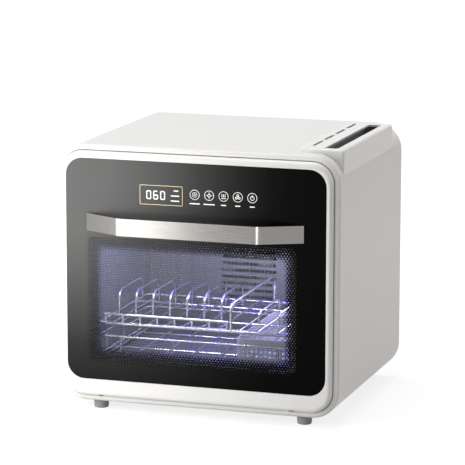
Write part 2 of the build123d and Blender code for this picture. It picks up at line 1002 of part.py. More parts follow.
# Door switch: the plunger is held in by the shut door
plunger_front = inner_panel_back + slide_gap
plunger_back = plunger_front + plunger_length
switch_z = (above(latch_height) - switch_width / 2, above(latch_height) + switch_width / 2)

with BuildPart() as switch_plunger:
    rod_along_y(switch_x, (plunger_front, plunger_back), above(latch_height), plunger_radius)
    chamfer(switch_plunger.faces().sort_by(Axis.Y)[0].edges(), length=plunger_radius / 2)

with BuildPart() as switch_body:
    front_slab(
        (switch_x - switch_width / 2, switch_x + switch_width / 2),
        switch_z,
        (frame_back, frame_back + switch_depth),
    )
    rod_along_y(
        switch_x,
        (frame_back, plunger_back + slide_gap),
        above(latch_height),
        plunger_radius + pin_clearance,
        Mode.SUBTRACT,
    )

# Door hinges: ears that reach into notches in the door, and the pins they hold
with BuildPart() as hinge_brackets:
    for hinge_x in hinge_places:
        front_slab(
            (hinge_x - hinge_plate_width / 2, hinge_x + hinge_plate_width / 2),
            (pivot_z - hinge_ear_radius, pivot_z - hinge_ear_radius + hinge_plate_height),
            (behind(frame_standoff) - hinge_plate_thickness, behind(frame_standoff)),
        )
        with BuildSketch(Plane.YZ.offset(hinge_x - hinge_ear_width / 2)) as ear:
            with Locations((pivot_y, pivot_z)):
                Circle(hinge_ear_radius)
                Rectangle(
                    behind(frame_standoff) - pivot_y,
                    2 * hinge_ear_radius,
                    align=(Align.MIN, Align.CENTER),
                )
        extrude(amount=hinge_ear_width)
        rod_along_x(
            (hinge_x - hinge_ear_width / 2, hinge_x + hinge_ear_width / 2),
            pivot_y,
            pivot_z,
            hinge_pin_radius,
            Mode.SUBTRACT,
        )
    for screw_x, screw_z in hinge_screw_places:
        small_rod_y(
            screw_x,
            (behind(frame_standoff) - hinge_plate_thickness, behind(frame_standoff)),
            screw_z,
            screw_radius + screw_bore_gap,
            Mode.SUBTRACT,
        )

with BuildPart() as hinge_pins:
    pin_half = hinge_ear_width / 2 + hinge_pin_reach
    for hinge_x in hinge_places:
        rod_along_x((hinge_x - pin_half, hinge_x + pin_half), pivot_y, pivot_z, hinge_pin_radius)

with BuildPart() as hinge_screws:
    for screw_x, screw_z in hinge_screw_places:
        small_rod_y(
            screw_x,
            (
                behind(frame_standoff) - hinge_plate_thickness - screw_head_height / 2,
                behind(frame_standoff) - hinge_plate_thickness,
            ),
            screw_z,
            screw_head_radius,
        )
        small_rod_y(
            screw_x,
            (behind(frame_standoff) - hinge_plate_thickness, hinge_screw_tip),
            screw_z,
            screw_radius,
        )

# Upper rack: a ring of heavy wire, cross wires level with it and floor wires on top
rack_x = inset(cavity_x, rack_side_gap)
rack_y = (cavity_y[0] + rack_front, cavity_y[1] - rack_back_gap)
upper_z = above(upper_rack_height)
cross_ys = (behind(hoop_front), behind(hoop_back))
flat_share = cos(pi / wire_flats)
floor_rise = (cross_wire + floor_wire) * flat_share - weld_depth


def rack_floor(z, floor_xs):
    """A level rack floor: ring, cross wires and floor wires welded into one piece."""
    wire_ring(rack_x, rack_y, z, rack_bend, frame_wire)
    for cross_y in cross_ys:
        rod_along_x(rack_x, cross_y, z, cross_wire, flats=wire_flats)
    for floor_x in floor_xs:
        rod_along_y(floor_x, rack_y, z + floor_rise, floor_wire, flats=wire_flats)


divider_x = rack_x[0] + divider_share * (rack_x[1] - rack_x[0])
fence_xs = spread(rack_x[0] + rack_bend, divider_x - divider_gap, hoop_count + 1)
bowl_hoop_xs = spread(
    divider_x + bowl_hoop_left_gap, rack_x[1] - bowl_hoop_right_gap, bowl_hoop_count
)
between_fences = [middle(pair) for pair in zip(fence_xs, fence_xs[1:])]
between_bowls = [middle(pair) for pair in zip(bowl_hoop_xs, bowl_hoop_xs[1:])]
upper_floor_xs = between_fences + [middle((divider_x, bowl_hoop_xs[0]))] + between_bowls

with BuildPart() as upper_rack:
    rack_floor(upper_z, upper_floor_xs)

with BuildPart() as rack_fence:
    fence_z = upper_z + fence_rise
    rail_x = inset((fence_xs[0], fence_xs[-1]), -floor_wire)
    rod_along_x(rail_x, rack_y[0], fence_z, cross_wire, flats=wire_flats)
    for post_x in fence_xs:
        rod_along_z(
            post_x,
            rack_y[0],
            (upper_z + frame_wire + seat_gap, fence_z),
            floor_wire,
            flats=wire_flats,
        )

with BuildPart() as divider_hoop:
    hoop(
        divider_x,
        rack_y,
        upper_z + frame_wire + seat_gap,
        upper_z + divider_rise,
        hoop_bend,
        cross_wire,
    )

with BuildPart() as plate_hoops:
    for hoop_x in fence_xs[:hoop_count]:
        hoop(
            hoop_x,
            cross_ys,
            upper_z + cross_wire * flat_share + seat_gap,
            upper_z + hoop_rise,
            hoop_bend,
            floor_wire,
        )

with BuildPart() as bowl_hoops:
    for hoop_x in bowl_hoop_xs:
        hoop(
            hoop_x,
            cross_ys,
            upper_z + cross_wire * flat_share + seat_gap,
            upper_z + bowl_hoop_rise,
            bowl_hoop_bend,
            floor_wire,
        )

# Lower rack: the same floor with a raised rim on posts
lower_z = above(lower_rack_height)
lower_floor_xs = floor_places(
    rack_x[0] + rack_bend + cross_wire, rack_x[1] - rack_bend - cross_wire, lower_floor_pitch
)
rim_z = lower_z + rim_rise
rim_post_z = (lower_z + frame_wire + seat_gap, rim_z - cross_wire - seat_gap)

with BuildPart() as lower_rack:
    rack_floor(lower_z, lower_floor_xs)

with BuildPart() as rack_rim:
    wire_ring(rack_x, rack_y, rim_z, rack_bend, cross_wire)

with BuildPart() as rim_posts:
    end_posts = [
        (x, y)
        for x in floor_places(*inset(rack_x, 3 * rack_bend), rim_post_pitch)
        for y in rack_y
    ]
    side_posts = [
        (x, y)
        for x in rack_x
        for y in floor_places(*inset(rack_y, 3 * rack_bend), rim_post_pitch)
    ]
    for post_x, post_y in end_posts + side_posts:
        rod_along_z(post_x, post_y, rim_post_z, floor_wire, flats=wire_flats)

# Cutlery basket that stands in the lower rack
basket_x = (divider_x + basket_divider_gap, rack_x[1] - basket_inset)
basket_y = inset(rack_y, basket_inset)
basket_low = lower_z + floor_rise + floor_wire * flat_share + seat_gap
basket_z = (basket_low, basket_low + basket_tall)
basket_slot_z = inset(basket_z, basket_slot_margin)

with BuildPart() as cutlery_basket:
    flat_slab(basket_x, basket_y, basket_z, basket_corner)
    flat_slab(
        inset(basket_x, basket_wall),
        inset(basket_y, basket_wall),
        (basket_z[0] + basket_wall, basket_z[1]),
        basket_corner - basket_wall,
        Mode.SUBTRACT,
    )
    for slot_x in floor_places(
        basket_x[0] + 2 * basket_corner, basket_x[1] - 2 * basket_corner, basket_slot_pitch
    ):
        front_slab(
            (slot_x - basket_slot_width / 2, slot_x + basket_slot_width / 2),
            basket_slot_z,
            basket_y,
            0.0,
            Mode.SUBTRACT,
        )
    for slot_y in floor_places(
        basket_y[0] + 2 * basket_corner, basket_y[1] - 2 * basket_corner, basket_slot_pitch
    ):
        flat_slab(
            basket_x,
            (slot_y - basket_slot_width / 2, slot_y + basket_slot_width / 2),
            basket_slot_z,
            0.0,
            Mode.SUBTRACT,
        )

# Rails on the liner walls that the racks slide on
rail_y = inset(cavity_y, tray_end_gap)


def rack_rails(top_z):
    """A pair of angle rails, one on each side wall, with their ledge at top_z."""
    for wall_x, inward in ((cavity_left, 1), (cavity_right, -1)):
        ledge_x = sorted((wall_x, wall_x + inward * rail_width))
        web_x = sorted((wall_x, wall_x + inward * rail_thickness))
        flat_slab(ledge_x, rail_y, (top_z - rail_thickness, top_z))
        flat_slab(web_x, rail_y, (top_z - rail_thickness - rail_lip, top_z - rail_thickness))


with BuildPart() as upper_rails:
    rack_rails(upper_z - frame_wire - slide_gap)

with BuildPart() as lower_rails:
    rack_rails(lower_z - frame_wire - slide_gap)

# Drip tray on the cavity floor
tray_x = inset(cavity_x, cavity_corner + slide_gap)
tray_y = inset(cavity_y, tray_end_gap)
tray_z = (cavity_z[0] + slide_gap, cavity_z[0] + slide_gap + tray_tall)

with BuildPart() as drip_tray:
    flat_slab(tray_x, tray_y, tray_z, tray_corner)
    flat_slab(
        inset(tray_x, tray_wall),
        inset(tray_y, tray_wall),
        (tray_z[0] + tray_wall, tray_z[1]),
        tray_corner - tray_wall,
        Mode.SUBTRACT,
    )

# Warm-air unit: grille, duct, heater, fan
grille_y = (cavity_y[1] - grille_thickness, cavity_y[1])
duct_x = (fan_x - fan_size / 2 - duct_gap, fan_x + fan_size / 2 + duct_gap)
duct_z = (fan_z - fan_size / 2 - duct_gap, fan_z + fan_size / 2 + duct_gap)
heater_y = (liner_y[1] + heater_gap, liner_y[1] + heater_gap + heater_depth)
fan_y = (heater_y[1] + heater_gap, heater_y[1] + heater_gap + fan_depth)
duct_y = (liner_y[1], fan_y[1] + duct_end_gap)
heater_x = inset(duct_x, slide_gap)
heater_z = inset(duct_z, slide_gap)
core_x = inset(heater_x, heater_rail)
core_z = inset(heater_z, heater_rail)

with BuildPart() as air_grille:
    grille_x = (fan_x - grille_half, fan_x + grille_half)
    grille_z = (fan_z - grille_half, fan_z + grille_half)
    front_slab(grille_x, grille_z, grille_y, grille_corner)
    for slot_z in floor_places(*inset(grille_z, grille_margin), grille_slot_pitch):
        front_slab(
            inset(grille_x, grille_margin),
            (slot_z - grille_slot_width / 2, slot_z + grille_slot_width / 2),
            grille_y,
            0.0,
            Mode.SUBTRACT,
        )

with BuildPart() as air_duct:
    front_slab(inset(duct_x, -duct_wall), inset(duct_z, -duct_wall), duct_y)
    front_slab(
        inset(duct_x, -duct_wall - duct_flange),
        inset(duct_z, -duct_wall - duct_flange),
        (duct_y[0], duct_y[0] + duct_wall),
    )
    front_slab(duct_x, duct_z, duct_y, 0.0, Mode.SUBTRACT)

with BuildPart() as ptc_heater:
    front_slab(heater_x, heater_z, heater_y)
    front_slab(core_x, core_z, heater_y, 0.0, Mode.SUBTRACT)
    for fin_x in floor_places(
        core_x[0] + heater_fin_pitch, core_x[1] - heater_fin_pitch, heater_fin_pitch
    ):
        front_slab((fin_x - heater_fin / 2, fin_x + heater_fin / 2), core_z, heater_y)

strut_y = (fan_y[1] - fan_strut_depth, fan_y[1])
motor_y = (strut_y[0] - fan_motor_depth, strut_y[0])
hub_front = motor_y[0] - fan_hub_wall - 2 * slide_gap
shaft_back = hub_front + fan_hub_wall + fan_shaft_length

with BuildPart() as fan_frame:
    front_slab(heater_x, heater_z, fan_y)
    rod_along_y(fan_x, fan_y, fan_z, fan_bore, Mode.SUBTRACT)
    rod_along_y(fan_x, strut_y, fan_z, fan_motor_radius)
    for turn in (0, 90, 180, 270):
        with BuildSketch(facing(strut_y[1])):
            with Locations((fan_x, fan_z)):
                with Locations(Rotation(0, 0, turn + 45)):
                    Rectangle(
                        fan_bore + fan_bore_sink,
                        fan_strut_width,
                        align=(Align.MIN, Align.CENTER),
                    )
        extrude(amount=fan_strut_depth)

with BuildPart() as fan_motor:
    rod_along_y(fan_x, motor_y, fan_z, fan_motor_radius)
    rod_along_y(
        fan_x,
        (motor_y[0], shaft_back + slide_gap),
        fan_z,
        fan_shaft_radius + pin_clearance,
        Mode.SUBTRACT,
    )

blade_middle = hub_front + fan_hub_depth / 2
blade_root_reach = fan_hub_radius - fan_hub_wall / 2
blade_tip_reach = fan_bore - fan_tip_gap

with BuildPart() as fan_impeller:
    rod_along_y(fan_x, (hub_front, hub_front + fan_hub_depth), fan_z, fan_hub_radius)
    rod_along_y(
        fan_x,
        (hub_front + fan_hub_wall, hub_front + fan_hub_depth),
        fan_z,
        fan_hub_radius - fan_hub_wall,
        Mode.SUBTRACT,
    )
    rod_along_y(fan_x, (hub_front, shaft_back), fan_z, fan_shaft_radius)
    for blade in range(fan_blade_count):
        angle = 2 * pi * blade / fan_blade_count
        outward = Vector(cos(angle), 0, sin(angle))
        round_the_hub = Vector(-sin(angle), 0, cos(angle))
        hub_centre = Vector(fan_x, blade_middle, fan_z)
        root_plane = Plane(
            origin=hub_centre + outward * blade_root_reach, x_dir=round_the_hub, z_dir=outward
        )
        tip_plane = Plane(
            origin=hub_centre + outward * blade_tip_reach, x_dir=round_the_hub, z_dir=outward
        )
        with BuildSketch(root_plane):
            Rectangle(fan_blade_root, fan_blade_thickness, rotation=fan_blade_root_pitch)
        with BuildSketch(tip_plane):
            Rectangle(fan_blade_tip, fan_blade_thickness, rotation=fan_blade_tip_pitch)
        loft()

# Ultraviolet lamps, their holders and a slotted guard under the cavity roof
lamp_z = cavity_z[1] - lamp_drop
lamp_span = (fan_x - lamp_length / 2, fan_x + lamp_length / 2)
holder_z = (lamp_z - lamp_radius - slide_gap, cavity_z[1])
guard_z = (cavity_z[1] - guard_drop, cavity_z[1])
guard_x = inset(lamp_span, -lamp_holder_length)
guard_y = (lamp_places[0] - lamp_holder_width, lamp_places[1] + lamp_holder_width)

with BuildPart() as lamp_tubes:
    for lamp_y in lamp_places:
        rod_along_x(lamp_span, lamp_y, lamp_z, lamp_radius)

with BuildPart() as lamp_holders:
    for lamp_y in lamp_places:
        for holder_x in (
            (lamp_span[0] - lamp_holder_length / 2, lamp_span[0]),
            (lamp_span[1], lamp_span[1] + lamp_holder_length / 2),
        ):
            flat_slab(
                holder_x,
                (lamp_y - lamp_holder_width / 2, lamp_y + lamp_holder_width / 2),
                holder_z,
            )

with BuildPart() as lamp_guard:
    flat_slab(guard_x, guard_y, guard_z)
    flat_slab(
        inset(guard_x, guard_thickness),
        inset(guard_y, guard_thickness),
        (guard_z[0] + guard_thickness, guard_z[1]),
        0.0,
        Mode.SUBTRACT,
    )
    for slot_x in floor_places(
        guard_x[0] + guard_slot_pitch, guard_x[1] - guard_slot_pitch, guard_slot_pitch
    ):
        flat_slab(
            (slot_x - guard_slot_width / 2, slot_x + guard_slot_width / 2),
            inset(guard_y, lamp_holder_width / 2),
            (guard_z[0], guard_z[0] + guard_thickness),
            0.0,
            Mode.SUBTRACT,
        )

# Power board on standoffs above the liner, with its larger components
power_span_x = (power_x - power_width / 2, power_x + power_width / 2)
power_span_y = (behind(power_front), behind(power_front + power_length))
standoff_z = (liner_z[1], liner_z[1] + standoff_height)
power_z = (standoff_z[1], standoff_z[1] + board_thickness)

with BuildPart() as board_standoffs:
    for post_x in inset(power_span_x, 2 * standoff_radius):
        for post_y in inset(power_span_y, 2 * standoff_radius):
            small_rod_z(post_x, post_y, standoff_z, standoff_radius)

with BuildPart() as power_board:
    flat_slab(power_span_x, power_span_y, power_z, power_corner)

with BuildPart() as board_components:
    transformer_x = (
        power_span_x[0] + transformer_inset,
        power_span_x[0] + transformer_inset + transformer_length,
    )
    transformer_y = (
        middle(power_span_y) - transformer_width / 2,
        middle(power_span_y) + transformer_width / 2,
    )
    relay_x = (power_span_x[1] - relay_inset - relay_length, power_span_x[1] - relay_inset)
    capacitor_x = middle(power_span_x) + capacitor_shift
    flat_slab(transformer_x, transformer_y, (power_z[1], power_z[1] + transformer_tall))
    for relay_y in floor_places(*inset(power_span_y, relay_margin), relay_pitch):
        relay_span = (relay_y - relay_width / 2, relay_y + relay_width / 2)
        flat_slab(relay_x, relay_span, (power_z[1], power_z[1] + relay_tall))
    for capacitor_y in inset(power_span_y, capacitor_margin):
        rod_along_z(
            capacitor_x,
            capacitor_y,
            (power_z[1], power_z[1] + capacitor_tall),
            capacitor_radius,
            flats=capacitor_flats,
        )

# Back panel with its vents, screws and power inlet
back_x = inset(shell_x, shell_wall + seat_gap)
back_z = inset(shell_z, shell_wall + seat_gap)
inlet_z = above(inlet_height)
inlet_flange_x = (inlet_x - inlet_flange_width / 2, inlet_x + inlet_flange_width / 2)
inlet_body_x = (inlet_x - inlet_width / 2, inlet_x + inlet_width / 2)
inlet_body_z = (inlet_z - inlet_tall / 2, inlet_z + inlet_tall / 2)
inlet_back = back_face + inlet_flange_thickness
inlet_screw_xs = inset(inlet_flange_x, screw_head_radius + inlet_screw_margin)

with BuildPart() as rear_panel:
    front_slab(back_x, back_z, (back_front, back_face), shell_inner_corner - seat_gap)
    for boss_x, boss_z in back_boss_places:
        small_rod_y(
            boss_x, (back_front, back_face), boss_z, screw_radius + screw_bore_gap, Mode.SUBTRACT
        )
    for vent_low, rows in (
        (fan_z - vent_pitch * (vent_rows - 1) / 2, vent_rows),
        (shell_high - upper_vent_drop, upper_vent_rows),
    ):
        for row in range(rows):
            vent_z = vent_low + row * vent_pitch
            front_slab(
                (fan_x - vent_width / 2, fan_x + vent_width / 2),
                (vent_z - vent_slot / 2, vent_z + vent_slot / 2),
                (back_front, back_face),
                0.0,
                Mode.SUBTRACT,
            )
    front_slab(
        inset(inlet_body_x, -seat_gap),
        inset(inlet_body_z, -seat_gap),
        (back_front, back_face),
        0.0,
        Mode.SUBTRACT,
    )
    for screw_x in inlet_screw_xs:
        small_rod_y(screw_x, (back_front, back_face), inlet_z, screw_radius, Mode.SUBTRACT)

with BuildPart() as rear_screws:
    for boss_x, boss_z in back_boss_places:
        screw_along_y(boss_x, boss_z, back_face, back_front - screw_length)

with BuildPart() as power_inlet:
    front_slab(
        inlet_flange_x,
        inset(inlet_body_z, -inlet_wall),
        (back_face, inlet_back),
        inlet_corner,
    )
    front_slab(inlet_body_x, inlet_body_z, (inlet_back - inlet_depth, back_face))
    front_slab(
        inset(inlet_body_x, inlet_wall),
        inset(inlet_body_z, inlet_wall),
        (inlet_back - inlet_recess_depth, inlet_back),
        0.0,
        Mode.SUBTRACT,
    )
    for step, rise in ((-1, -inlet_pin_rise), (0, inlet_pin_rise), (1, -inlet_pin_rise)):
        pin_x = inlet_x + step * inlet_pin_pitch
        front_slab(
            (pin_x - inlet_pin_thickness / 2, pin_x + inlet_pin_thickness / 2),
            (inlet_z + rise - inlet_pin_width / 2, inlet_z + rise + inlet_pin_width / 2),
            (inlet_back - inlet_recess_depth, inlet_back - inlet_wall),
        )
    for screw_x in inlet_screw_xs:
        small_rod_y(
            screw_x, (back_face, inlet_back), inlet_z, screw_radius + screw_bore_gap, Mode.SUBTRACT
        )

with BuildPart() as inlet_screws:
    for screw_x in inlet_screw_xs:
        small_rod_y(
            screw_x,
            (inlet_back, inlet_back + screw_head_height / 2),
            inlet_z,
            screw_head_radius,
        )
        small_rod_y(
            screw_x, (back_front - inlet_screw_reach, inlet_back), inlet_z, screw_radius
        )

pieces = {
    "outer_shell": outer_shell,
    "feet": feet,
    "foot_screws": foot_screws,
    "front_frame": front_frame,
    "inner_liner": inner_liner,
    "liner_cradle": liner_cradle,
    "slot_housing": slot_housing,
    "storage_well": storage_well,
    "door_frame": door_frame,
    "front_glass": front_glass,
    "door_inner_panel": door_inner_panel,
    "door_screws": door_screws,
    "inner_window": inner_window,
    "door_gasket": door_gasket,
    "handle_bar": handle_bar,
    "handle_screws": handle_screws,
    "touch_board": touch_board,
    "display_module": display_module,
    "keys_cover": keys_cover,
    "strike_plates": strike_plates,
    "latch_magnets": latch_magnets,
    "switch_plunger": switch_plunger,
    "switch_body": switch_body,
    "hinge_brackets": hinge_brackets,
    "hinge_pins": hinge_pins,
    "hinge_screws": hinge_screws,
    "upper_rack": upper_rack,
    "rack_fence": rack_fence,
    "divider_hoop": divider_hoop,
    "plate_hoops": plate_hoops,
    "bowl_hoops": bowl_hoops,
    "lower_rack": lower_rack,
    "rack_rim": rack_rim,
    "rim_posts": rim_posts,
    "cutlery_basket": cutlery_basket,
    "upper_rails": upper_rails,
    "lower_rails": lower_rails,
    "drip_tray": drip_tray,
    "air_grille": air_grille,
    "air_duct": air_duct,
    "ptc_heater": ptc_heater,
    "fan_frame": fan_frame,
    "fan_motor": fan_motor,
    "fan_impeller": fan_impeller,
    "lamp_tubes": lamp_tubes,
    "lamp_holders": lamp_holders,
    "lamp_guard": lamp_guard,
    "board_standoffs": board_standoffs,
    "power_board": power_board,
    "board_components": board_components,
    "rear_panel": rear_panel,
    "rear_screws": rear_screws,
    "power_inlet": power_inlet,
    "inlet_screws": inlet_screws,
}
for name, piece in pieces.items():
    piece.part.label = name
    export_step(piece.part, f"parts/{name}.step")
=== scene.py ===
"""Looks of a counter-top dish dryer with violet lamps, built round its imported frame.

The frame gives every solid in metres, with X to the right, Y to the back and Z up.
Sizes here are in millimetres in that same frame, unless a comment says that they are in metres.
"""

import logging
import math
from dataclasses import dataclass, field
from enum import Enum

import bmesh
import bpy
from bmesh.types import BMEdge, BMesh, BMFace, BMVert
from mathutils import Matrix, Vector

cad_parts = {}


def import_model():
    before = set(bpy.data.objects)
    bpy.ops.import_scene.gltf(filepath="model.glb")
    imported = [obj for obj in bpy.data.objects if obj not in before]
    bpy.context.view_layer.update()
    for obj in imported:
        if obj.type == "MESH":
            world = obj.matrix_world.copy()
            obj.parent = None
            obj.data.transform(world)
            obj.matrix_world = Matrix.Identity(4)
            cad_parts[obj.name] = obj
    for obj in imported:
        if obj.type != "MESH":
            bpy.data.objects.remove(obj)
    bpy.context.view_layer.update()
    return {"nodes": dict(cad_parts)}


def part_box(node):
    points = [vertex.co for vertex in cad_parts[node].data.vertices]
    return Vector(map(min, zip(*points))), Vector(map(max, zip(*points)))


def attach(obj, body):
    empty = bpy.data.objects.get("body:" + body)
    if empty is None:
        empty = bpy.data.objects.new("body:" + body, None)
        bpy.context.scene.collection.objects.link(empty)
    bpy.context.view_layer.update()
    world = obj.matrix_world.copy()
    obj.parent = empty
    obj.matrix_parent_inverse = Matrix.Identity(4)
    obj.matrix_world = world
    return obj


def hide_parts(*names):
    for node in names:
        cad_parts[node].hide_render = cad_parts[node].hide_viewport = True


LOG = logging.getLogger("dish_dryer")
MM = 0.001
QUARTER = math.pi / 2
WHITE = "#FFFFFF"
WIRE_SIDES = 12
BEND_STEPS = 7
EDGE_STEPS = 2
PRINT_DEPTH = 0.12
MERGE_MM = 0.01
SEAM_MM = 0.002
# The frame's own wires have six sides, and sideways reach this share of their radius.
FLAT_REACH = 0.866
MATH = "ShaderNodeMath"
RANGE = "ShaderNodeMapRange"
RAMP = "ShaderNodeValToRGB"
AT_REST = Matrix()
Socket = bpy.types.NodeSocket


class Grain(Enum):
    """Which way the marks on a surface run, as the pattern's scale along X, Y and Z.

    SPANGLE is nearly even, and draws cells instead of a grain.
    """

    EVEN = (1.0, 1.0, 1.0)
    ALONG_X = (0.015, 1.0, 1.0)
    ALONG_Z = (1.0, 1.0, 0.015)
    SPANGLE = (1.0, 1.01, 1.02)


class Facing(Enum):
    """Which way a screw's head or a print points, as a turn from straight up."""

    FRONT = Matrix.Rotation(QUARTER, 4, "X")
    BACK = Matrix.Rotation(-QUARTER, 4, "X")
    DOWN = Matrix.Rotation(math.pi, 4, "X")


class Rounding(Enum):
    """What a bevel rounds, by Blender's word for it."""

    EDGES = "EDGES"
    CORNERS = "VERTICES"


def point(x: float, y: float, z: float) -> Vector:
    """Returns a place given in millimetres as a vector in metres."""
    return Vector((x, y, z)) * MM


def spans(node: str) -> tuple[Vector, Vector]:
    """Returns a frame node's lowest and highest corners at rest, in millimetres."""
    low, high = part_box(node)
    return low / MM, high / MM


def linear(colour: str) -> tuple[float, float, float, float]:
    """Turns an sRGB hex colour to the linear values that a shader takes.

    Args:
        colour: six hex digits after a hash sign.

    Returns:
        Red, green, blue and an alpha of one.
    """
    parts = [int(colour[i : i + 2], 16) / 255 for i in (1, 3, 5)]
    values = [c / 12.92 if c <= 0.04045 else ((c + 0.055) / 1.055) ** 2.4 for c in parts]
    return (*values, 1.0)


def add_node(
    tree: bpy.types.NodeTree, kind: str, settings: dict | None = None, links: dict | None = None
) -> bpy.types.Node:
    """Adds one shader node with its settings and links.

    Args:
        tree: node tree that gets the node.
        kind: Blender's name for the node type.
        settings: values by attribute name, or by input name or number. A list under
            "stops" sets a ramp's places and colours.
        links: output sockets by the name or number of the input that they feed.

    Returns:
        The new node.
    """
    made = tree.nodes.new(kind)
    for name, value in (settings or {}).items():
        if name == "stops":
            marks = made.color_ramp.elements
            while len(marks) < len(value):
                marks.new(1.0)
            for mark, (place, colour) in zip(marks, value):
                mark.position = place
                mark.color = colour
        elif isinstance(name, str) and hasattr(made, name):
            setattr(made, name, value)
        else:
            made.inputs[name].default_value = value
    for name, socket in (links or {}).items():
        tree.links.new(socket, made.inputs[name])
    return made


@dataclass(frozen=True)
class Finish:
    """A surface with two near tones, a grain of real size and a little relief."""

    name: str
    slot: str
    colour: str
    tone: str
    roughness: float
    spread: float = 0.06
    metallic: float = 0.0
    ior: float = 1.5
    level: float = 0.5
    alpha: float = 1.0
    grain: Grain = Grain.EVEN
    grain_mm: float = 1.5
    grain_detail: float = 3.0
    grain_roughness: float = 0.55
    relief_mm: float = 0.02
    relief_strength: float = 0.6
    tone_ends: tuple[float, float] = (0.3, 0.7)

    def material(self) -> bpy.types.Material:
        """Returns the finish's material, made on the first call."""
        return bpy.data.materials.get(self.name) or self.make()

    def make(self) -> bpy.types.Material:
        """Builds the finish as a new material.

        Returns:
            The new material.
        """
        made = bpy.data.materials.new(self.name)
        made.use_nodes = True
        made.diffuse_color = linear(self.colour)
        tree = made.node_tree
        tree.nodes.clear()
        settings = {
            "Metallic": self.metallic,
            "Specular IOR Level": self.level,
            "Alpha": self.alpha,
        }
        if not self.metallic:
            settings["IOR"] = self.ior
        shader = add_node(tree, "ShaderNodeBsdfPrincipled", settings)
        add_node(tree, "ShaderNodeOutputMaterial", {}, {"Surface": shader.outputs["BSDF"]})
        self.dress(tree, shader)
        return made

    def marks(self, tree: bpy.types.NodeTree) -> Socket:
        """Adds the surface's own pattern at its real scale.

        Args:
            tree: the material's node tree.

        Returns:
            A socket between zero and one.
        """
        place = add_node(tree, "ShaderNodeTexCoord").outputs["Object"]
        stretch = {"Scale": self.grain.value}
        turned = add_node(tree, "ShaderNodeMapping", stretch, {"Vector": place}).outputs[0]
        pattern = {"Scale": 1 / (self.grain_mm * MM)}
        if self.grain is Grain.SPANGLE:
            cells = add_node(tree, "ShaderNodeTexVoronoi", pattern, {"Vector": turned})
            tint = {"Color": cells.outputs["Color"]}
            return add_node(tree, "ShaderNodeSeparateColor", {}, tint).outputs[0]
        pattern |= {"Detail": self.grain_detail, "Roughness": self.grain_roughness}
        return add_node(tree, "ShaderNodeTexNoise", pattern, {"Vector": turned}).outputs["Fac"]

    def dress(self, tree: bpy.types.NodeTree, shader: bpy.types.Node) -> None:
        """Feeds colour, roughness and relief from the surface's pattern.

        Args:
            tree: the material's node tree.
            shader: its Principled shader.
        """
        marks = self.marks(tree)
        dull, full = self.tone_ends
        stops = [(dull, linear(self.tone)), (full, linear(self.colour))]
        tones = add_node(tree, RAMP, {"stops": stops}, {"Fac": marks})
        half = self.spread / 2
        ends = {"To Min": self.roughness - half, "To Max": self.roughness + half}
        gloss = add_node(tree, RANGE, ends, {"Value": marks})
        depth = {"Strength": self.relief_strength, "Distance": self.relief_mm * MM}
        relief = add_node(tree, "ShaderNodeBump", depth, {"Height": marks})
        tree.links.new(tones.outputs["Color"], shader.inputs["Base Color"])
        tree.links.new(gloss.outputs["Result"], shader.inputs["Roughness"])
        tree.links.new(relief.outputs["Normal"], shader.inputs["Normal"])


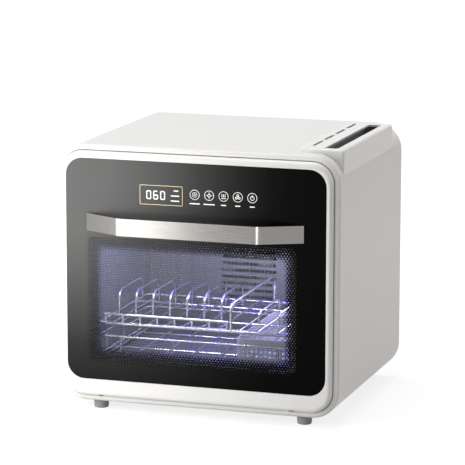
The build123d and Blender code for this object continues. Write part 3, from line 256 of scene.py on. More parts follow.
@dataclass(frozen=True)
class PrintedGlass(Finish):
    """Tempered glass with black enamel fired on, which opens to the chamber in a dot screen.

    The real screen is too fine to show, so its dots are drawn 4.6 by 3.6 mm apart and the
    lines between them 2.6 mm apart. The enamel's grey, graphite at the left going to black at
    the right and fading low down, is a painted reflection.
    """

    # The window's ends along X and above the glass's lower edge, and how round its corners are.
    window_x: tuple[float, float] = (-167.0, 157.0)
    window_rise: tuple[float, float] = (30.0, 218.0)
    window_corner: float = 14.0
    # How far in the dots reach their full size, their pitch, and their radius at both ends.
    fade_mm: float = 22.0
    dot_mm: tuple[float, float] = (4.6, 3.6)
    dot_radius: tuple[float, float] = (1.3, 3.3)
    dot_growth: float = 3.0
    dot_blur: float = 0.2
    # The lines' pitch, the share of it that a line takes, and how much a line covers.
    mesh_mm: float = 2.6
    mesh_line: float = 0.3
    mesh_cover: float = 0.3
    # How clear a full dot is, and how much of the painted reflection is kept inside the window.
    clearest: float = 0.96
    reflection_in_window: float = 0.7
    border_mm: float = 6.0
    # Share of the width and the grey of the painted reflection there: graphite at the left, black
    # at the right.
    sheet: tuple[tuple[float, float], ...] = (
        (0.0, 0.14), (0.17, 0.135), (0.25, 0.122), (0.36, 0.096), (0.52, 0.056),
        (0.67, 0.022), (0.79, 0.006), (0.87, 0.003), (1.0, 0.0015),
    )
    # Share of the height and how much of that painted reflection is there: it fades low down.
    reflection_fall: tuple[tuple[float, float], ...] = (
        (0.0, 0.12), (0.15, 0.22), (0.38, 0.52), (0.52, 0.76), (0.68, 0.96), (1.0, 1.0),
    )

    def dress(self, tree: bpy.types.NodeTree, shader: bpy.types.Node) -> None:
        """Feeds the enamel's tone, which is a painted reflection, and its open dots.

        Args:
            tree: the material's node tree.
            shader: its Principled shader.
        """
        place = add_node(tree, "ShaderNodeTexCoord").outputs["Object"]
        split = add_node(tree, "ShaderNodeSeparateXYZ", {}, {"Vector": place})
        to_mm = {"operation": "MULTIPLY", 1: 1 / MM}
        across = add_node(tree, MATH, to_mm, {0: split.outputs["X"]}).outputs[0]
        height = add_node(tree, MATH, to_mm, {0: split.outputs["Z"]}).outputs[0]
        edge = self.inside(tree, across, height)
        # The enamel's tone is a painted reflection: graphite at the left, black at the right.
        enamel = self.enamel(tree, across, height, edge)
        tree.links.new(enamel, shader.inputs["Base Color"])
        opened = self.openness(tree, across, height, edge)
        clear = {"operation": "MULTIPLY", 1: self.clearest}
        clear = add_node(tree, MATH, clear, {0: opened}).outputs[0]
        solid = add_node(tree, MATH, {"operation": "SUBTRACT", 0: 1.0}, {1: clear}).outputs[0]
        tree.links.new(solid, shader.inputs["Alpha"])
        ends = {"To Min": self.roughness, "To Max": self.roughness + self.spread}
        gloss = add_node(tree, RANGE, ends, {"Value": self.marks(tree)}).outputs["Result"]
        tree.links.new(gloss, shader.inputs["Roughness"])

    def inside(self, tree: bpy.types.NodeTree, across: Socket, height: Socket) -> Socket:
        """Works out how far inside the window a place is.

        Args:
            tree: the material's node tree.
            across: the place's X in millimetres.
            height: its Z in millimetres.

        Returns:
            A socket in millimetres, negative outside the window.
        """
        foot = spans("front_glass")[0].z
        lift = {"operation": "SUBTRACT", 1: foot}
        rise = add_node(tree, MATH, lift, {0: height}).outputs[0]
        sides = {}
        for slot, (start, end) in enumerate((self.window_x, self.window_rise)):
            middle = {"operation": "SUBTRACT", 1: (start + end) / 2}
            off = add_node(tree, MATH, middle, {0: (across, rise)[slot]}).outputs[0]
            off = add_node(tree, MATH, {"operation": "ABSOLUTE"}, {0: off}).outputs[0]
            half = {"operation": "SUBTRACT", 0: (end - start) / 2}
            sides[slot] = add_node(tree, MATH, half, {1: off}).outputs[0]
        corner = {"operation": "SMOOTH_MIN", 2: self.window_corner}
        return add_node(tree, MATH, corner, sides).outputs[0]

    def enamel(
        self, tree: bpy.types.NodeTree, across: Socket, height: Socket, edge: Socket
    ) -> Socket:
        """Works out the enamel's tone, a painted reflection that is dimmer where it screens the
        window.

        Args:
            tree: the material's node tree.
            across: the place's X in millimetres.
            height: its Z in millimetres.
            edge: how far inside the window it is, in millimetres.

        Returns:
            A colour socket.
        """
        low, high = spans("front_glass")
        colour_a, colour_b = 6, 7
        reflection_greys = {}
        # Greys across and down that together paint a reflection on the black enamel.
        for slot, value, start, end, stops in (
            (colour_a, across, low.x, high.x, self.sheet),
            (colour_b, height, low.z, high.z, self.reflection_fall),
        ):
            ends = {"From Min": start, "From Max": end}
            share = add_node(tree, RANGE, ends, {"Value": value}).outputs["Result"]
            shades = [(place, (grey, grey, grey, 1.0)) for place, grey in stops]
            reflection_greys[slot] = add_node(tree, RAMP, {"stops": shades}, {"Fac": share}).outputs["Color"]
        product = {"data_type": "RGBA", "blend_type": "MULTIPLY", 0: 1.0}
        tone = add_node(tree, "ShaderNodeMix", product, reflection_greys).outputs[2]
        # The painted reflection is dimmed inside the window.
        ends = {
            "From Min": -self.border_mm,
            "From Max": self.border_mm,
            "To Min": 1.0,
            "To Max": self.reflection_in_window,
        }
        reflection_dim = add_node(tree, RANGE, ends, {"Value": edge}).outputs["Result"]
        return add_node(
            tree, "ShaderNodeVectorMath", {"operation": "SCALE"}, {0: tone, "Scale": reflection_dim}
        ).outputs[0]

    def openness(
        self, tree: bpy.types.NodeTree, across: Socket, height: Socket, edge: Socket
    ) -> Socket:
        """Works out how open the enamel is at a place.

        Args:
            tree: the material's node tree.
            across: the place's X in millimetres.
            height: its Z in millimetres.
            edge: how far inside the window it is, in millimetres.

        Returns:
            A socket from zero, solid enamel, to one, open glass.
        """
        wide, tall = self.dot_mm
        row = add_node(tree, MATH, {"operation": "DIVIDE", 1: tall}, {0: height}).outputs[0]
        whole = add_node(tree, MATH, {"operation": "FLOOR"}, {0: row}).outputs[0]
        odd = add_node(tree, MATH, {"operation": "MODULO", 1: 2.0}, {0: whole}).outputs[0]
        shift = add_node(tree, MATH, {"operation": "MULTIPLY", 1: 0.5}, {0: odd}).outputs[0]
        column = add_node(tree, MATH, {"operation": "DIVIDE", 1: wide}, {0: across}).outputs[0]
        column = add_node(tree, MATH, {"operation": "ADD"}, {0: column, 1: shift}).outputs[0]
        squares = {}
        for slot, (count, pitch) in enumerate(((column, wide), (row, tall))):
            off = add_node(tree, MATH, {"operation": "FRACT"}, {0: count}).outputs[0]
            off = add_node(tree, MATH, {"operation": "SUBTRACT", 1: 0.5}, {0: off}).outputs[0]
            off = add_node(tree, MATH, {"operation": "MULTIPLY", 1: pitch}, {0: off}).outputs[0]
            off = add_node(tree, MATH, {"operation": "POWER", 1: 2.0}, {0: off}).outputs[0]
            squares[slot] = off
        reach = add_node(tree, MATH, {"operation": "ADD"}, squares).outputs[0]
        reach = add_node(tree, MATH, {"operation": "SQRT"}, {0: reach}).outputs[0]
        fade = {"From Max": self.fade_mm}
        share = add_node(tree, RANGE, fade, {"Value": edge}).outputs["Result"]
        growth = {"operation": "POWER", 1: self.dot_growth}
        share = add_node(tree, MATH, growth, {0: share}).outputs[0]
        ends = {"To Min": self.dot_radius[0], "To Max": self.dot_radius[1]}
        radius = add_node(tree, RANGE, ends, {"Value": share}).outputs["Result"]
        within = {"operation": "GREATER_THAN", 1: 0.0}
        within = add_node(tree, MATH, within, {0: edge}).outputs[0]
        product = {"operation": "MULTIPLY"}
        radius = add_node(tree, MATH, product, {0: radius, 1: within}).outputs[0]
        spare = add_node(tree, MATH, {"operation": "SUBTRACT"}, {0: radius, 1: reach}).outputs[0]
        blur = {"From Min": -self.dot_blur, "From Max": self.dot_blur}
        opened = add_node(tree, RANGE, blur, {"Value": spare}).outputs["Result"]
        for value in (across, height):
            pitch = {"operation": "DIVIDE", 1: self.mesh_mm}
            wave = add_node(tree, MATH, pitch, {0: value}).outputs[0]
            wave = add_node(tree, MATH, {"operation": "FRACT"}, {0: wave}).outputs[0]
            line = {"operation": "LESS_THAN", 1: self.mesh_line}
            line = add_node(tree, MATH, line, {0: wave}).outputs[0]
            cover = {"operation": "MULTIPLY", 1: self.mesh_cover}
            cover = add_node(tree, MATH, cover, {0: line}).outputs[0]
            kept = add_node(tree, MATH, {"operation": "SUBTRACT", 0: 1.0}, {1: cover}).outputs[0]
            opened = add_node(tree, MATH, product, {0: opened, 1: kept}).outputs[0]
        return opened


@dataclass(frozen=True)
class Glow(Finish):
    """A glass tube or a lit digit that gives its own light, a little uneven along it, or a printed
    key sign whose glow is painted light.
    """

    strength: float = 1.0

    def dress(self, tree: bpy.types.NodeTree, shader: bpy.types.Node) -> None:
        """Adds the light to the plain surface.

        Args:
            tree: the material's node tree.
            shader: its Principled shader.
        """
        super().dress(tree, shader)
        colour = shader.inputs["Base Color"].links[0].from_socket
        tree.links.new(colour, shader.inputs["Emission Color"])
        shader.inputs["Emission Strength"].default_value = self.strength


# Powder-coated sheet steel: a satin white with a fine orange peel of about 1.6 mm.
SHELL_COAT = Finish(
    "powder_coated_steel_white", "white_shell", "#EDECEA", "#E8E7E4", roughness=0.36,
    spread=0.08, grain_mm=1.6, relief_mm=0.012,
)
# Moulded gloss ABS: the storage block and the door surround, whiter and shinier than the
# shell, with a faint moulding ripple of 2.4 mm.
GLOSS_ABS = Finish(
    "moulded_ABS_gloss_white", "white_shell", "#F1F0EE", "#EBEAE7", roughness=0.24, ior=1.53,
    grain_mm=2.4, relief_mm=0.006,
)
# Spark-eroded ABS: the parts that show only with the door open, matt with a 0.8 mm texture.
MATT_ABS = Finish(
    "moulded_ABS_matt_white", "white_inner", "#DEDDDA", "#D4D3CF", roughness=0.52, spread=0.1,
    ior=1.53, grain_mm=0.8, relief_mm=0.03,
)
# Brushed stainless strip: hairlines along X, drawn 0.35 mm apart, coarser than real, to show.
HANDLE_STEEL = Finish(
    "brushed_stainless_strip", "handle_steel", "#8B8987", "#7B7977", roughness=0.22, spread=0.1,
    metallic=1.0, grain=Grain.ALONG_X, grain_mm=0.35, relief_mm=0.01,
)
# Stainless chamber sheet: a vertical satin brush that spreads the lamps' light softly. Its
# lines are finer than the render can show, so they are drawn 2.4 mm apart.
LINER_STEEL = Finish(
    "satin_stainless_sheet", "liner_steel", "#94959B", "#85868D", roughness=0.46, spread=0.1,
    metallic=1.0, grain=Grain.ALONG_Z, grain_mm=2.4, relief_mm=0.008,
)
# Polished stainless wire: bright, with faint draw marks, drawn 0.7 mm apart so that they show.
RACK_WIRE = Finish(
    "polished_stainless_wire", "bright_wire", "#D9D9DB", "#C8C8CB", roughness=0.22, spread=0.08,
    metallic=1.0, grain_mm=0.7, relief_mm=0.006,
)
# Galvanised sheet steel: spangles about 4 mm across in two greys.
ZINC_SHEET = Finish(
    "galvanised_sheet_steel", "zinc_steel", "#B9BBBD", "#9FA2A6", roughness=0.42, spread=0.18,
    metallic=1.0, grain=Grain.SPANGLE, grain_mm=4.0, relief_mm=0.004,
)
# Zinc-plated steel: small screws and pins, brighter than sheet, with wire-drawn marks, drawn
# 0.5 mm apart so that they show.
ZINC_SCREW = Finish(
    "zinc_plated_steel", "zinc_steel", "#C6C7C9", "#ABADB1", roughness=0.3, spread=0.12,
    metallic=1.0, grain_mm=0.5, relief_mm=0.01,
)
# Moulded TPE rubber: the feet, soft grey and quite matt, with a 0.9 mm spark texture.
FOOT_RUBBER = Finish(
    "moulded_TPE_grey", "grey_rubber", "#A3A2A0", "#979694", roughness=0.62, spread=0.12,
    ior=1.45, grain_mm=0.9, relief_mm=0.03,
)
# Extruded silicone: the door's seal, a darker grey with a faint bloom.
SEAL_RUBBER = Finish(
    "extruded_silicone_grey", "grey_rubber", "#77777A", "#6C6C6F", roughness=0.55, spread=0.1,
    ior=1.43, grain_mm=1.2,
)
# Matt dark grey ABS: the face behind the door, whose dark grey is painted shade for the gap
# round the door, with the same 0.8 mm texture.
PAINTED_GAP_SHADE_ABS = Finish(
    "moulded_ABS_matt_painted_gap_shade", "white_inner", "#202123", "#1A1B1C", roughness=0.5, spread=0.1,
    ior=1.53, grain_mm=0.8, relief_mm=0.03,
)
# Glass-filled PBT: black inner parts with a dull skin, mottled by its fibres every 1.1 mm.
BLACK_PBT = Finish(
    "glass_filled_PBT_black", "black_plastic", "#232426", "#191A1B", roughness=0.48,
    spread=0.12, grain_mm=1.1, relief_mm=0.03,
)
# Moulded polypropylene: the basket and storage well, waxy grey with flow marks of 2 mm.
GREY_PP = Finish(
    "moulded_polypropylene_grey", "grey_plastic", "#B4B6BC", "#A8AAB1", roughness=0.34,
    spread=0.1, ior=1.49, grain_mm=2.0, relief_mm=0.012,
)
# Smoked polypropylene: the drip tray, as waxy and darker, so that its ribs stand out.
TRAY_PP = Finish(
    "moulded_polypropylene_smoke", "grey_plastic", "#6A6B78", "#5C5D6A", roughness=0.3,
    spread=0.1, ior=1.49, grain_mm=2.0, relief_mm=0.012,
)
# Rolled aluminium: the heater's fins, pale with a rolling grain along X, drawn 0.8 mm apart,
# coarser than real, to show.
HEATER_FINS = Finish(
    "rolled_aluminium_fins", "heater_aluminium", "#C9CACB", "#B1B2B4", roughness=0.34,
    spread=0.12, metallic=1.0, grain=Grain.ALONG_X, grain_mm=0.8, relief_mm=0.01,
)
# Solder-masked FR4: deep green with lighter tracks that show as a cell pattern.
CIRCUIT_BOARD = Finish(
    "solder_masked_FR4", "green_board", "#1F5A38", "#17482C", roughness=0.3, spread=0.1,
    ior=1.55, grain=Grain.SPANGLE, grain_mm=5.0,
)
# Epoxy and phenolic bodies of the transformer, relays and capacitor: blue and half matt, with
# a cast skin that is mottled every 1.4 mm.
COMPONENTS = Finish(
    "epoxy_component_blue", "component_plastic", "#3A4A78", "#2E3B63", roughness=0.4,
    spread=0.12, grain_mm=1.4,
)
# Smoked acrylic over the display: almost black and very smooth, with a ripple of 3 mm.
DISPLAY_ACRYLIC = Finish(
    "smoked_acrylic_black", "display_black", "#141416", "#0F0F11", roughness=0.12, spread=0.05,
    ior=1.49, grain_mm=3.0, relief_mm=0.003,
)
# Clear float glass: seen mostly by its gloss, with a wave of about 60 mm from the float bath.
CLEAR_GLASS = Finish(
    "clear_float_glass", "clear_glass", "#DDE6E4", "#D6E0DE", roughness=0.03, spread=0.02,
    ior=1.52, alpha=0.07, grain_mm=60.0, relief_mm=0.001,
)
# Tempered glass with a fired black enamel print: gloss black, with a painted reflection that
# lightens it to graphite at the left, and the furnace rollers' wave of about 40 mm in its gloss.
DOOR_GLASS = PrintedGlass(
    "enamel_printed_tempered_glass", "dark_glass", "#101010", "#0C0C0C", roughness=0.14,
    spread=0.03, ior=1.52, level=0.035, grain_mm=40.0,
)
# Drawn quartz glass, lit violet from inside by the gas, with drawing marks of 9 mm.
LAMP_TUBE = Glow(
    "lit_quartz_tube", "lamp_glass", "#B7A8FF", "#9F8CFF", roughness=0.1, spread=0.05, ior=1.46,
    grain_mm=9.0, relief_mm=0.002, strength=6.0,
)
# Fired white ink: digits, rings and bars on the glass, with a tone that changes faintly over
# 1.2 mm, the step of the print's cloth drawn coarser than real. It glows: in the digits as the
# display's lit segments, and in the printed keys as painted light.
WHITE_INK_LIT_AND_PAINTED_GLOW = Glow(
    "fired_white_ink_lit_and_painted_glow", "display_black", "#F4F4F2", "#E9E9E6", roughness=0.4, spread=0.1,
    grain_mm=1.2, relief_mm=0.004, strength=0.35,
)
# Fired metallic ink: the thin warm line round the display, glittering over 0.9 mm, coarser
# than its real flakes, to show.
GOLD_INK = Finish(
    "fired_gold_ink", "display_black", "#CDBB98", "#B39F78", roughness=0.35, spread=0.1,
    metallic=0.4, grain_mm=0.9, relief_mm=0.004,
)


def only(parts: list, kind: type) -> list:
    """Returns the parts of a mesh that are of one kind."""
    return [part for part in parts if isinstance(part, kind)]


def extruded(shape: BMesh, faces: list[BMFace], offset: Vector) -> list[BMFace]:
    """Extrudes faces by an offset.

    Args:
        shape: mesh that holds the faces.
        faces: faces to extrude.
        offset: how far they go, in metres.

    Returns:
        The faces at the far end.
    """
    grown = bmesh.ops.extrude_face_region(shape, geom=faces)["geom"]
    bmesh.ops.translate(shape, vec=offset, verts=only(grown, BMVert))
    return only(grown, BMFace)


def rounded(shape: BMesh, geom: list, radius: float, segments: int, what: Rounding) -> None:
    """Rounds edges or corners of a mesh.

    Args:
        shape: mesh that holds them.
        geom: its edges or vertices to round.
        radius: radius of the rounding, in millimetres.
        segments: how many steps it takes.
        what: whether edges or corners are rounded.
    """
    bmesh.ops.bevel(
        shape,
        geom=geom,
        offset=radius * MM,
        offset_type="OFFSET",
        segments=segments,
        profile=0.5,
        affect=what.value,
        material=-1,
    )


def joined(shape: BMesh, part: BMesh, place: Matrix = AT_REST) -> None:
    """Adds one mesh to another at a place, and frees it.

    Args:
        shape: mesh that grows.
        part: mesh that is added.
        place: where the part goes.
    """
    holder = bpy.data.meshes.new("holder")
    part.transform(place)
    part.to_mesh(holder)
    part.free()
    shape.from_mesh(holder)
    bpy.data.meshes.remove(holder)


def bend_wire(
    shape: BMesh,
    corners: list[tuple[float, float, float]],
    radius: float,
    bend: float = 0.0,
    closed: bool = False,
) -> None:
    """Adds one round wire, extruded along its runs and spun round its bends.

    Args:
        shape: mesh that gets the wire.
        corners: the wire's corner points, in millimetres.
        radius: the wire's radius, in millimetres.
        bend: radius of its bends, in millimetres.
        closed: whether its end meets its start.
    """
    route = [Vector(corner) * MM for corner in corners]
    if closed:
        start = (route[0] + route[-1]) / 2
        route = [start, *route, start]
    heading = (route[1] - route[0]).normalized()
    place = Matrix.Translation(route[0]) @ heading.to_track_quat("Z", "Y").to_matrix().to_4x4()
    disc = bmesh.ops.create_circle(
        shape, cap_ends=True, segments=WIRE_SIDES, radius=radius * MM, matrix=place
    )
    cap = list({face for vert in disc["verts"] for face in vert.link_faces})
    front = cap
    at = route[0]
    for corner, beyond in zip(route[1:-1], route[2:]):
        before = (corner - at).normalized()
        after = (beyond - corner).normalized()
        turn = before.angle(after)
        reach = bend * MM * math.tan(turn / 2)
        end = corner - before * reach
        front = extruded(shape, front, end - at)
        axis = before.cross(after).normalized()
        ring = [*front, *{e for f in front for e in f.edges}, *{v for f in front for v in f.verts}]
        spun = bmesh.ops.spin(
            shape,
            geom=ring,
            cent=end + axis.cross(before) * bend * MM,
            axis=axis,
            angle=turn,
            steps=BEND_STEPS,
            use_merge=False,
        )
        front = only(spun["geom_last"], BMFace)
        at = corner + after * reach
    front = extruded(shape, front, route[-1] - at)
    if closed:
        bmesh.ops.delete(shape, geom=[*cap, *front], context="FACES_ONLY")


def turned(profile: list[tuple[float, float]], steps: int = 32) -> BMesh:
    """Spins a profile round Z into a closed body.

    Args:
        profile: radius and height of each of its points, in millimetres, from axis to axis.
        steps: how many steps the full turn takes.

    Returns:
        The new mesh, in metres.
    """
    shape = bmesh.new()
    tip = bmesh.ops.create_vert(shape, co=point(profile[0][0], 0, profile[0][1]))["vert"]
    for (radius, height), (r_next, h_next) in zip(profile, profile[1:]):
        tip = bmesh.ops.extrude_vert_indiv(shape, verts=tip)["verts"]
        bmesh.ops.translate(shape, vec=point(r_next - radius, 0, h_next - height), verts=tip)
    bmesh.ops.spin(
        shape,
        geom=[*shape.verts, *shape.edges],
        cent=(0, 0, 0),
        axis=(0, 0, 1),
        angle=2 * math.pi,
        steps=steps,
        use_merge=True,
    )
    bmesh.ops.remove_doubles(shape, verts=shape.verts, dist=MERGE_MM * MM)
    return shape


def front_plate(
    width: float, height: float, depth: float, corner: float, segments: int
) -> BMesh:
    """Makes a thin plate that faces the front, with its back at Y zero.

    Args:
        width: size along X, in millimetres.
        height: size along Z, in millimetres.
        depth: how far it stands out to the front, in millimetres.
        corner: radius of its corners, in millimetres.
        segments: how many steps round each corner.

    Returns:
        The new mesh, in metres.
    """
    shape = bmesh.new()
    size = Matrix.Diagonal((width * MM, height * MM, 1.0, 1.0))
    bmesh.ops.create_grid(
        shape, x_segments=1, y_segments=1, size=0.5, matrix=Facing.FRONT.value @ size
    )
    if corner:
        rounded(shape, list(shape.verts), corner, segments, Rounding.CORNERS)
    extruded(shape, list(shape.faces), point(0, -depth, 0))
    return shape


def front_ring(outer: float, inner: float, depth: float, sides: int) -> BMesh:
    """Makes a thin flat ring that faces the front.

    Args:
        outer: its outer radius, in millimetres.
        inner: its inner radius, in millimetres.
        depth: how far it stands out to the front, in millimetres.
        sides: how many sides its circles have.

    Returns:
        The new mesh, in metres.
    """
    shape = bmesh.new()
    for radius in (outer, inner):
        bmesh.ops.create_circle(
            shape, segments=sides, radius=radius * MM, matrix=Facing.FRONT.value
        )
    bmesh.ops.bridge_loops(shape, edges=list(shape.edges))
    extruded(shape, list(shape.faces), point(0, -depth, 0))
    return shape


def box_body(
    span_x: tuple[float, float],
    span_y: tuple[float, float],
    span_z: tuple[float, float],
    edge: float = 0.0,
) -> BMesh:
    """Makes a block with softened edges.

    Args:
        span_x: its ends along X, in millimetres.
        span_y: its ends along Y, in millimetres.
        span_z: its ends along Z, in millimetres.
        edge: radius of its edges, in millimetres.

    Returns:
        The new mesh, in metres.
    """
    ends = (span_x, span_y, span_z)
    centre = Vector([sum(span) / 2 for span in ends]) * MM
    size = [(span[1] - span[0]) * MM for span in ends]
    shape = bmesh.new()
    bmesh.ops.create_cube(
        shape, size=1.0, matrix=Matrix.Translation(centre) @ Matrix.Diagonal((*size, 1.0))
    )
    if edge:
        rounded(shape, list(shape.edges), edge, EDGE_STEPS, Rounding.EDGES)
    return shape


def solid_boxes(node: str) -> list[tuple[Vector, Vector]]:
    """Finds the box of each separate solid of a frame node.

    Args:
        node: the frame node's name.

    Returns:
        Lowest and highest corners, in millimetres, sorted by place.
    """
    copy = bmesh.new()
    copy.from_mesh(bpy.data.objects[node].data)
    bmesh.ops.remove_doubles(copy, verts=copy.verts, dist=MERGE_MM * MM)
    left = set(copy.verts)
    boxes = []
    while left:
        reached = [left.pop()]
        island = list(reached)
        while reached:
            for edge in reached.pop().link_edges:
                found = left.intersection(edge.verts)
                left -= found
                reached += found
                island += found
        places = [vert.co / MM for vert in island]
        low = Vector([min(place[axis] for place in places) for axis in range(3)])
        high = Vector([max(place[axis] for place in places) for axis in range(3)])
        boxes.append((low, high))
    copy.free()
    return sorted(boxes, key=lambda box: (round(box[0].x), round(box[0].y), round(box[0].z)))


def finished(
    shape: BMesh,
    name: str,
    finish: Finish,
    body: str,
    stands_for: tuple[str, ...] = (),
    crease: float = 32.0,
) -> None:
    """Turns a mesh into a piece that rides on a body.

    Args:
        shape: the piece's mesh, in metres, which is freed.
        name: the piece's name.
        finish: its finish.
        body: the body that it rides on.
        stands_for: frame nodes that it replaces.
        crease: angle in degrees past which an edge stays sharp.
    """
    bmesh.ops.remove_doubles(shape, verts=shape.verts, dist=SEAM_MM * MM)
    bmesh.ops.recalc_face_normals(shape, faces=shape.faces)
    mesh = bpy.data.meshes.new(name)
    shape.to_mesh(mesh)
    shape.free()
    for face in mesh.polygons:
        face.use_smooth = True
    mesh.set_sharp_from_angle(angle=math.radians(crease))
    mesh.materials.append(finish.material())
    piece = bpy.data.objects.new(name, mesh)
    bpy.context.scene.collection.objects.link(piece)
    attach(piece, body)
    if stands_for:
        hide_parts(*stands_for)
    LOG.info("%s: %d faces on %s", name, len(mesh.polygons), body)


def even_places(first: float, last: float, count: int) -> list[float]:
    """Returns places at even steps from the first to the last."""
    return [first + (last - first) * i / (count - 1) for i in range(count)]


@dataclass
class SubAssembly:
    """A group of frame nodes that keep their shapes, with a finish for each."""

    finishes: dict[str, Finish] = field(default_factory=dict)

    def build(self, nodes: dict[str, bpy.types.Object]) -> None:
        """Gives the group's nodes their finishes.

        Args:
            nodes: the frame's objects by name.
        """
        for name, finish in self.finishes.items():
            data = nodes[name].data
            if data.materials:
                for place in range(len(data.materials)):
                    data.materials[place] = finish.material()
            else:
                data.materials.append(finish.material())
            LOG.info("%s: %s", name, finish.name)


@dataclass
class Cabinet(SubAssembly):
    """The outer shell with its storage block, feet, back and inlet."""

    finishes: dict[str, Finish] = field(
        default_factory=lambda: {
            "outer_shell": SHELL_COAT,
            # The face behind the door is dark grey as painted shade in the gap round the door.
            "front_frame": PAINTED_GAP_SHADE_ABS,
            "slot_housing": GLOSS_ABS,
            "storage_well": GREY_PP,
            "rear_panel": MATT_ABS,
            "power_inlet": BLACK_PBT,
            "liner_cradle": ZINC_SHEET,
            "hinge_brackets": ZINC_SHEET,
            "hinge_pins": ZINC_SCREW,
            "latch_magnets": BLACK_PBT,
            "switch_body": BLACK_PBT,
            "switch_plunger": MATT_ABS,
        }
    )
    foot_radius: float = 12.0
    foot_taper: float = 1.2
    foot_round: float = 1.6
    foot_ease: float = 0.3
    # Radius and height of the screw's recess in the sole, from its bottom out.
    foot_recess: tuple[tuple[float, float], ...] = (
        (0.0, 6.0), (5.0, 6.0), (5.5, 5.6), (5.5, 0.6), (6.1, 0.0),
    )
    # How far in from the side and down from the top the groove and upper edge lie.
    foot_groove: tuple[tuple[float, float], ...] = (
        (0.4, 3.2), (1.0, 2.9), (1.0, 2.3), (0.0, 2.0), (0.0, 0.4), (0.4, 0.0),
    )

    def build(self, nodes: dict[str, bpy.types.Object]) -> None:
        """Dresses the cabinet's nodes and makes its feet."""
        super().build(nodes)
        self.feet()

    def feet(self) -> None:
        """Turns the four rubber feet, each with a screw recess and a groove."""
        shape = bmesh.new()
        side, sole = self.foot_radius, self.foot_radius - self.foot_taper
        soft, ease = self.foot_round, self.foot_round * self.foot_ease
        for low, high in solid_boxes("feet"):
            tall = high.z - low.z
            profile = [*self.foot_recess, (sole - soft, 0.0), (sole - ease, ease), (sole, soft)]
            profile += [(side - inset, tall - drop) for inset, drop in self.foot_groove]
            profile.append((0.0, tall))
            middle = (low + high) / 2
            joined(shape, turned(profile), Matrix.Translation(point(middle.x, middle.y, low.z)))
        finished(shape, "turned_feet", FOOT_RUBBER, "cabinet", ("feet",))


@dataclass
class Chamber(SubAssembly):
    """The steel chamber with its rails, drip tray, lamps and guard."""

    finishes: dict[str, Finish] = field(
        default_factory=lambda: {
            "inner_liner": LINER_STEEL,
            "upper_rails": LINER_STEEL,
            "lower_rails": LINER_STEEL,
            "lamp_guard": LINER_STEEL,
            "lamp_holders": MATT_ABS,
        }
    )
    # The tray's wall, upright corners, and the ribs' distance from its sides.
    tray_wall: float = 1.0
    tray_corner: float = 6.0
    tray_steps: int = 5
    tray_margin: float = 8.0
    rib_start: float = 10.0
    rib_pitch: float = 7.0
    rib_width: float = 2.6
    rib_tall: float = 5.5
    rib_round: float = 0.9
    rib_sink: float = 0.2
    # Where the long ribs stop and the cross ribs start and end.
    split_x: float = -5.0
    cross_end_x: float = 42.0
    # Where a lamp's glass starts, its neck's share of the radius, its shoulder and its play.
    lamp_sides: int = 20
    glass_end: float = 7.0
    glass_neck: float = 0.7
    glass_shoulder: float = 1.0
    glass_inset: float = 0.3
    # Inset from the cap's radius and distance from its end, of each corner of its side.
    cap_side: tuple[tuple[float, float], ...] = ((0.5, 0.0), (0.0, 0.5), (0.0, 7.0), (0.4, 7.6))

    def build(self, nodes: dict[str, bpy.types.Object]) -> None:
        """Dresses the chamber's nodes and makes its tray and lamps.

        Args:
            nodes: the frame's objects by name.
        """
        super().build(nodes)
        self.tray()
        self.lamps()

    def tray(self) -> None:
        """Makes the drip tray with long ribs at the left and cross ribs beside them."""
        low, high = spans("drip_tray")
        shape = box_body((low.x, high.x), (low.y, high.y), (low.z, high.z))
        wall = self.tray_wall
        upright = [e for e in shape.edges if abs(e.verts[0].co.z - e.verts[1].co.z) > wall * MM]
        rounded(shape, upright, self.tray_corner, self.tray_steps, Rounding.EDGES)
        shape.faces.ensure_lookup_table()
        top = max(shape.faces, key=lambda face: face.calc_center_median().z)
        bmesh.ops.inset_region(shape, faces=[top], thickness=wall * MM, depth=0.0)
        extruded(shape, [top], point(0, 0, low.z + wall - high.z))
        foot = low.z + wall - self.rib_sink
        rib_z = (foot, foot + self.rib_tall)
        inner_y = (low.y + self.tray_margin, high.y - self.tray_margin)
        place = low.x + self.rib_start
        while place < high.x - self.tray_margin:
            if not self.split_x <= place <= self.cross_end_x:
                rib_x = (place, place + self.rib_width)
                joined(shape, box_body(rib_x, inner_y, rib_z, self.rib_round))
            place += self.rib_pitch
        cross_x = (self.split_x, self.cross_end_x)
        place = inner_y[0]
        while place < inner_y[1] - self.rib_width:
            rib_y = (place, place + self.rib_width)
            joined(shape, box_body(cross_x, rib_y, rib_z, self.rib_round))
            place += self.rib_pitch
        finished(shape, "ribbed_drip_tray", TRAY_PP, "tray", ("drip_tray",))

    def lamps(self) -> None:
        """Turns the two lamp tubes with their metal end caps."""
        glass = bmesh.new()
        metal = bmesh.new()
        along_x = Matrix.Rotation(QUARTER, 4, "Y")
        for low, high in solid_boxes("lamp_tubes"):
            middle = (low + high) / 2
            along = high.x - low.x
            radius = (high.z - low.z) / 2
            aim = Matrix.Translation(point(low.x, middle.y, middle.z)) @ along_x
            neck, tube = radius * self.glass_neck, radius - self.glass_inset
            start, full = self.glass_end, self.glass_end + self.glass_shoulder
            half = [(0.0, start), (neck, start), (tube, full)]
            outline = half + [(across, along - off) for across, off in reversed(half)]
            joined(glass, turned(outline, self.lamp_sides), aim)
            cap = [(0.0, 0.0), *((radius - inset, off) for inset, off in self.cap_side)]
            cap.append((0.0, cap[-1][1]))
            for start, way in ((0.0, 1.0), (along, -1.0)):
                ends = [(across, start + way * off) for across, off in cap]
                joined(metal, turned(ends, self.lamp_sides), aim)
        finished(glass, "lit_lamp_tubes", LAMP_TUBE, "cabinet", ("lamp_tubes",))
        finished(metal, "lamp_end_caps", ZINC_SCREW, "cabinet")


